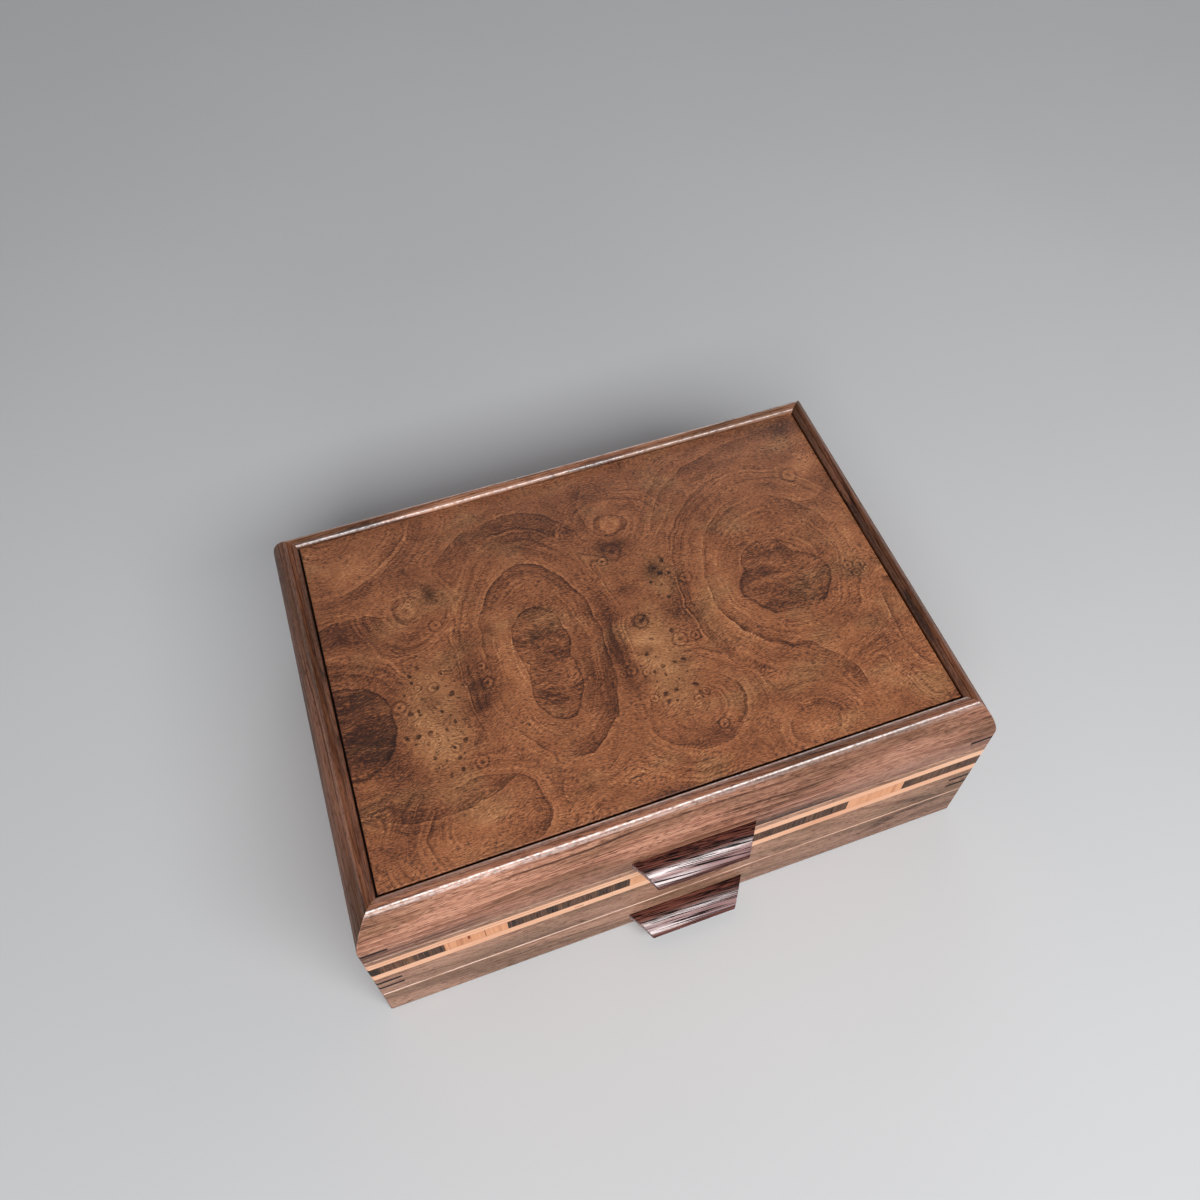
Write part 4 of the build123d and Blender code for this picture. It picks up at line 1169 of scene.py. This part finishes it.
def burl_finish():
    """Walnut burl under a clear gloss."""
    finish, tree, shader, place = new_finish("walnut_burl")
    tone, fibres, pores, golden = put("Group", {"Vector": place}, node_tree=make_burl_figure()).outputs
    colour = lay_over(golden, shades(tone, zip(BURL_STOPS, BURL_BROWN)), shades(tone, zip(BURL_STOPS, BURL_GOLD)))
    colour = lay_over(times(pores, 0.75), colour, tint(58, 31, 20))
    low, high, gap_tone = SHADOW_GAP
    feed(shader, {
        "Base Color": lay_over(inside_box(place, low, high), colour, gap_tone, "MULTIPLY"),
        "Roughness": times_plus(pores, 0.2, 0.36),
        "Coat Weight": 0.5,
        "Coat Roughness": 0.16,
        "Normal": relief(reckon("SUBTRACT", times(fibres, 0.4), pores), 0.012),
    })
    return finish


panel = block("burl_panel", (-HALF_X - TONGUE_DEPTH, -HALF_Y - TONGUE_DEPTH, TONGUE_BOTTOM),
              (HALF_X + TONGUE_DEPTH, HALF_Y + TONGUE_DEPTH, TONGUE_TOP))
bpy.ops.object.mode_set(mode="EDIT")
pick(panel, "FACE", lambda p: abs(p.z - TONGUE_TOP) < NEAR)
bpy.ops.mesh.inset(thickness=TONGUE_DEPTH + PANEL_SHADOW_GAP)
bpy.ops.transform.translate(value=FIELD_SHIFT)
bpy.ops.mesh.extrude_region_move(TRANSFORM_OT_translate={"value": (0, 0, PANEL_TOP - TONGUE_TOP)})
ease(panel, lambda p: abs(p.z - PANEL_TOP) < NEAR, EDGE_EASE, 4)
leave_edit(panel)
finish_piece(panel, "lid", burl_finish(), "lid_panel")


# Lid lining: suede glued under the panel, seen when the lid is up.
glued_cloth("suede_in_lid", "lid_lining", dark_suede, "lid", SUEDE_THICKNESS)


# Handles: two lips of dark, coarse-pored wenge, alike, one on the lid and one on the drawer. Each droops from
# a thin root, is hollowed below for the fingers, has slanted ends, and is screwed on from inside.
HANDLE_BACK_HALF = 26.6 * MM
HANDLE_FRONT_HALF = 19.2 * MM
HANDLE_REACH = 11.5 * MM
HANDLE_END_EASE = 0.3 * MM
HANDLE_WOOD = (tint(124, 72, 58), tint(66, 32, 26), tint(24, 10, 10), tint(8, 3, 4))
HANDLE_GRAIN = {"Ring Pitch": 1.6, "Wander": 1.2, "Ripple": 0.2, "Fibre Width": 0.35, "Pore Length": 26.0,
                "Pore Width": 0.4, "Pore Start": 0.5}
# The pink that the handles' colour is painted towards as a highlight
HANDLE_GLEAM = tint(216, 140, 138)
# The section, as millimetres out from the front and down from the top: the root's top, then the crown's middle
# and the nose's top, the nose's tip and its underside, and the hollow's middle and the root's bottom
HANDLE_ROOT_TOP = (0, 0)
HANDLE_ARCS = [((6.9, 1.35), (11.2, 5.0), 14), ((11.45, 5.85), (10.75, 6.6), 6), ((6.4, 4.25), (0, 4.2), 12)]
# Each handle's body, with the height of its top in millimetres and its wood's turn and heart
HANDLES = {
    "lid": (78.5, (3, -3.0, 3.2), (0, -104, 66)),
    "drawer": (13.2, (-2, -1.6, 1.8), (40, -103, 4)),
}


def arc_through(first, between, last):
    """The middle (y, z) and the sweep in degrees about X of the arc through three points."""
    (ay, az), (by, bz), (cy, cz) = first, between, last
    double = 2 * (ay * (bz - cz) + by * (cz - az) + cy * (az - bz))
    a, b, c = ay * ay + az * az, by * by + bz * bz, cy * cy + cz * cz
    middle_y = (a * (bz - cz) + b * (cz - az) + c * (az - bz)) / double
    middle_z = (a * (cy - by) + b * (ay - cy) + c * (by - ay)) / double
    start = math.atan2(az - middle_z, ay - middle_y)
    end = math.atan2(cz - middle_z, cy - middle_y)
    return (middle_y, middle_z), (math.degrees(end - start) + 180) % 360 - 180


def handle_finish(name, top, turn, heart):
    """Striped wenge whose thick gloss catches the light on the nose, below the crown and away from the root, and
    whose colour is painted lighter and pinker there as a highlight.
    """
    finish = wood_finish(name, turn, heart, HANDLE_WOOD, HANDLE_GRAIN, (0.8, 0.9, 0.3, 1.0), (0.22, 1.0), 0.06,
                         streaky=0.97, edge_weight=0.2)
    shader = finish.node_tree.nodes["Principled BSDF"]
    wood, shine = (shader.inputs[label].links[0].from_socket for label in ("Base Color", "Coat Weight"))
    up = times(axes_of(put("TexCoord", {}, finish.node_tree).outputs["Object"])["Z"], 1000)
    crown = step_up(up, top - 4.6, top - 3.7, 0.1, 1.0)
    root = step_up(up, top - 0.5, top - 1.8, 0.04, 1.0)
    gleam = times(shine, times(crown, root))
    # Painted highlight: the colour goes lighter and pinker where the thick gloss is.
    painted_gleam = lay_over(times(gleam, 0.3), wood, HANDLE_GLEAM)
    feed(shader, {"Base Color": painted_gleam, "Coat Weight": gleam, "Coat IOR": 3.0, "Coat Roughness": 0.24})
    return finish


def handle(body, top, turn, heart):
    """One handle, drawn in section, run along, its ends sawn slanting and their arrises eased."""
    face = -DEPTH / 2

    def at(point):
        return (face - point[0] * MM, top * MM - point[1] * MM)

    outline = [at(HANDLE_ROOT_TOP)]
    here = outline[0]
    for between, last, steps in HANDLE_ARCS:
        outline.append((*arc_through(here, at(between), at(last)), steps, at(last)))
        here = at(last)
    piece = begin_outline(body + "_grip", -HANDLE_BACK_HALF, outline[0])
    draw([*outline, outline[0]])
    fill_and_run(2 * HANDLE_BACK_HALF)
    slant = HANDLE_BACK_HALF - HANDLE_FRONT_HALF
    for end in (-1, 1):
        saw((end * HANDLE_BACK_HALF, face, 0), (end * HANDLE_REACH, -slant, 0))
        ease(piece, lambda p: abs(end * p.x - HANDLE_BACK_HALF - (p.y - face) * slant / HANDLE_REACH) < NEAR
             and p.y < face - NEAR, HANDLE_END_EASE, 2)
    leave_edit(piece)
    finish = handle_finish(body + "_handle_wenge", top, turn, heart)
    finish_piece(piece, body, finish, body + "_handle")


for body, row in HANDLES.items():
    handle(body, *row)
for body in HANDLES:
    eased_copy(body + "_handle_screws", body, brass)


# Drawer front: a walnut board cut from the case's front, mitred into the sides with a hair of room.
FLOOR_GAP = 0.5 * MM
DRAWER_FRONT_TOP = 24.75 * MM
MITRE_GAP = 0.35 * MM
inner, outer = -HALF_Y, -DEPTH / 2
drawer_front = mitred_board("drawer_front_board", "front", [
    (inner, FLOOR_GAP), (outer, FLOOR_GAP), (outer, DRAWER_FRONT_TOP), (inner, DRAWER_FRONT_TOP),
    (inner, FLOOR_GAP),
], [(outer, FLOOR_GAP, EDGE_EASE, 3), (outer, DRAWER_FRONT_TOP, TOP_CHAMFER, 1)], MITRE_GAP)
drawer_front_wood = front_walnut("walnut_drawer_front", DRAWER_FRONT_TOP, 0.85, tint(224, 224, 222))
finish_piece(drawer_front, "drawer", drawer_front_wood, "drawer_front")


# Drawer box: maple sides and back, a plywood bottom in grooves, suede glued on it, and two walnut dividers.
DRAWER_WOOD = (tint(226, 188, 142), tint(210, 168, 122), tint(180, 134, 90), tint(150, 108, 70))
DRAWER_PARTS = {
    "drawer_left_side": (-89.0, (0, 90, 20)),
    "drawer_right_side": (-91.0, (20, -70, 26)),
    "drawer_back": (1.0, (10, 50, 22)),
}
for node, (turn, heart) in DRAWER_PARTS.items():
    side_wood = wood_finish("maple_" + node, (0, 0, turn), heart, DRAWER_WOOD, MAPLE_GRAIN, (0.45, 0.3, 0.3, 0.25),
                            (0.42, 0.04), 0.01)
    eased_copy(node, "drawer", side_wood, STRIP_EASE)
eased_copy("drawer_bottom", "drawer", plywood("birch_ply_drawer", (10, 50, 20)))
glued_cloth("suede_in_drawer", "drawer_lining", dark_suede, "drawer", SUEDE_THICKNESS)
for number in (1, 2):
    inside_strip(f"drawer_divider_{number}", "drawer", -90.5, (0, 60 - 50 * number, 18))
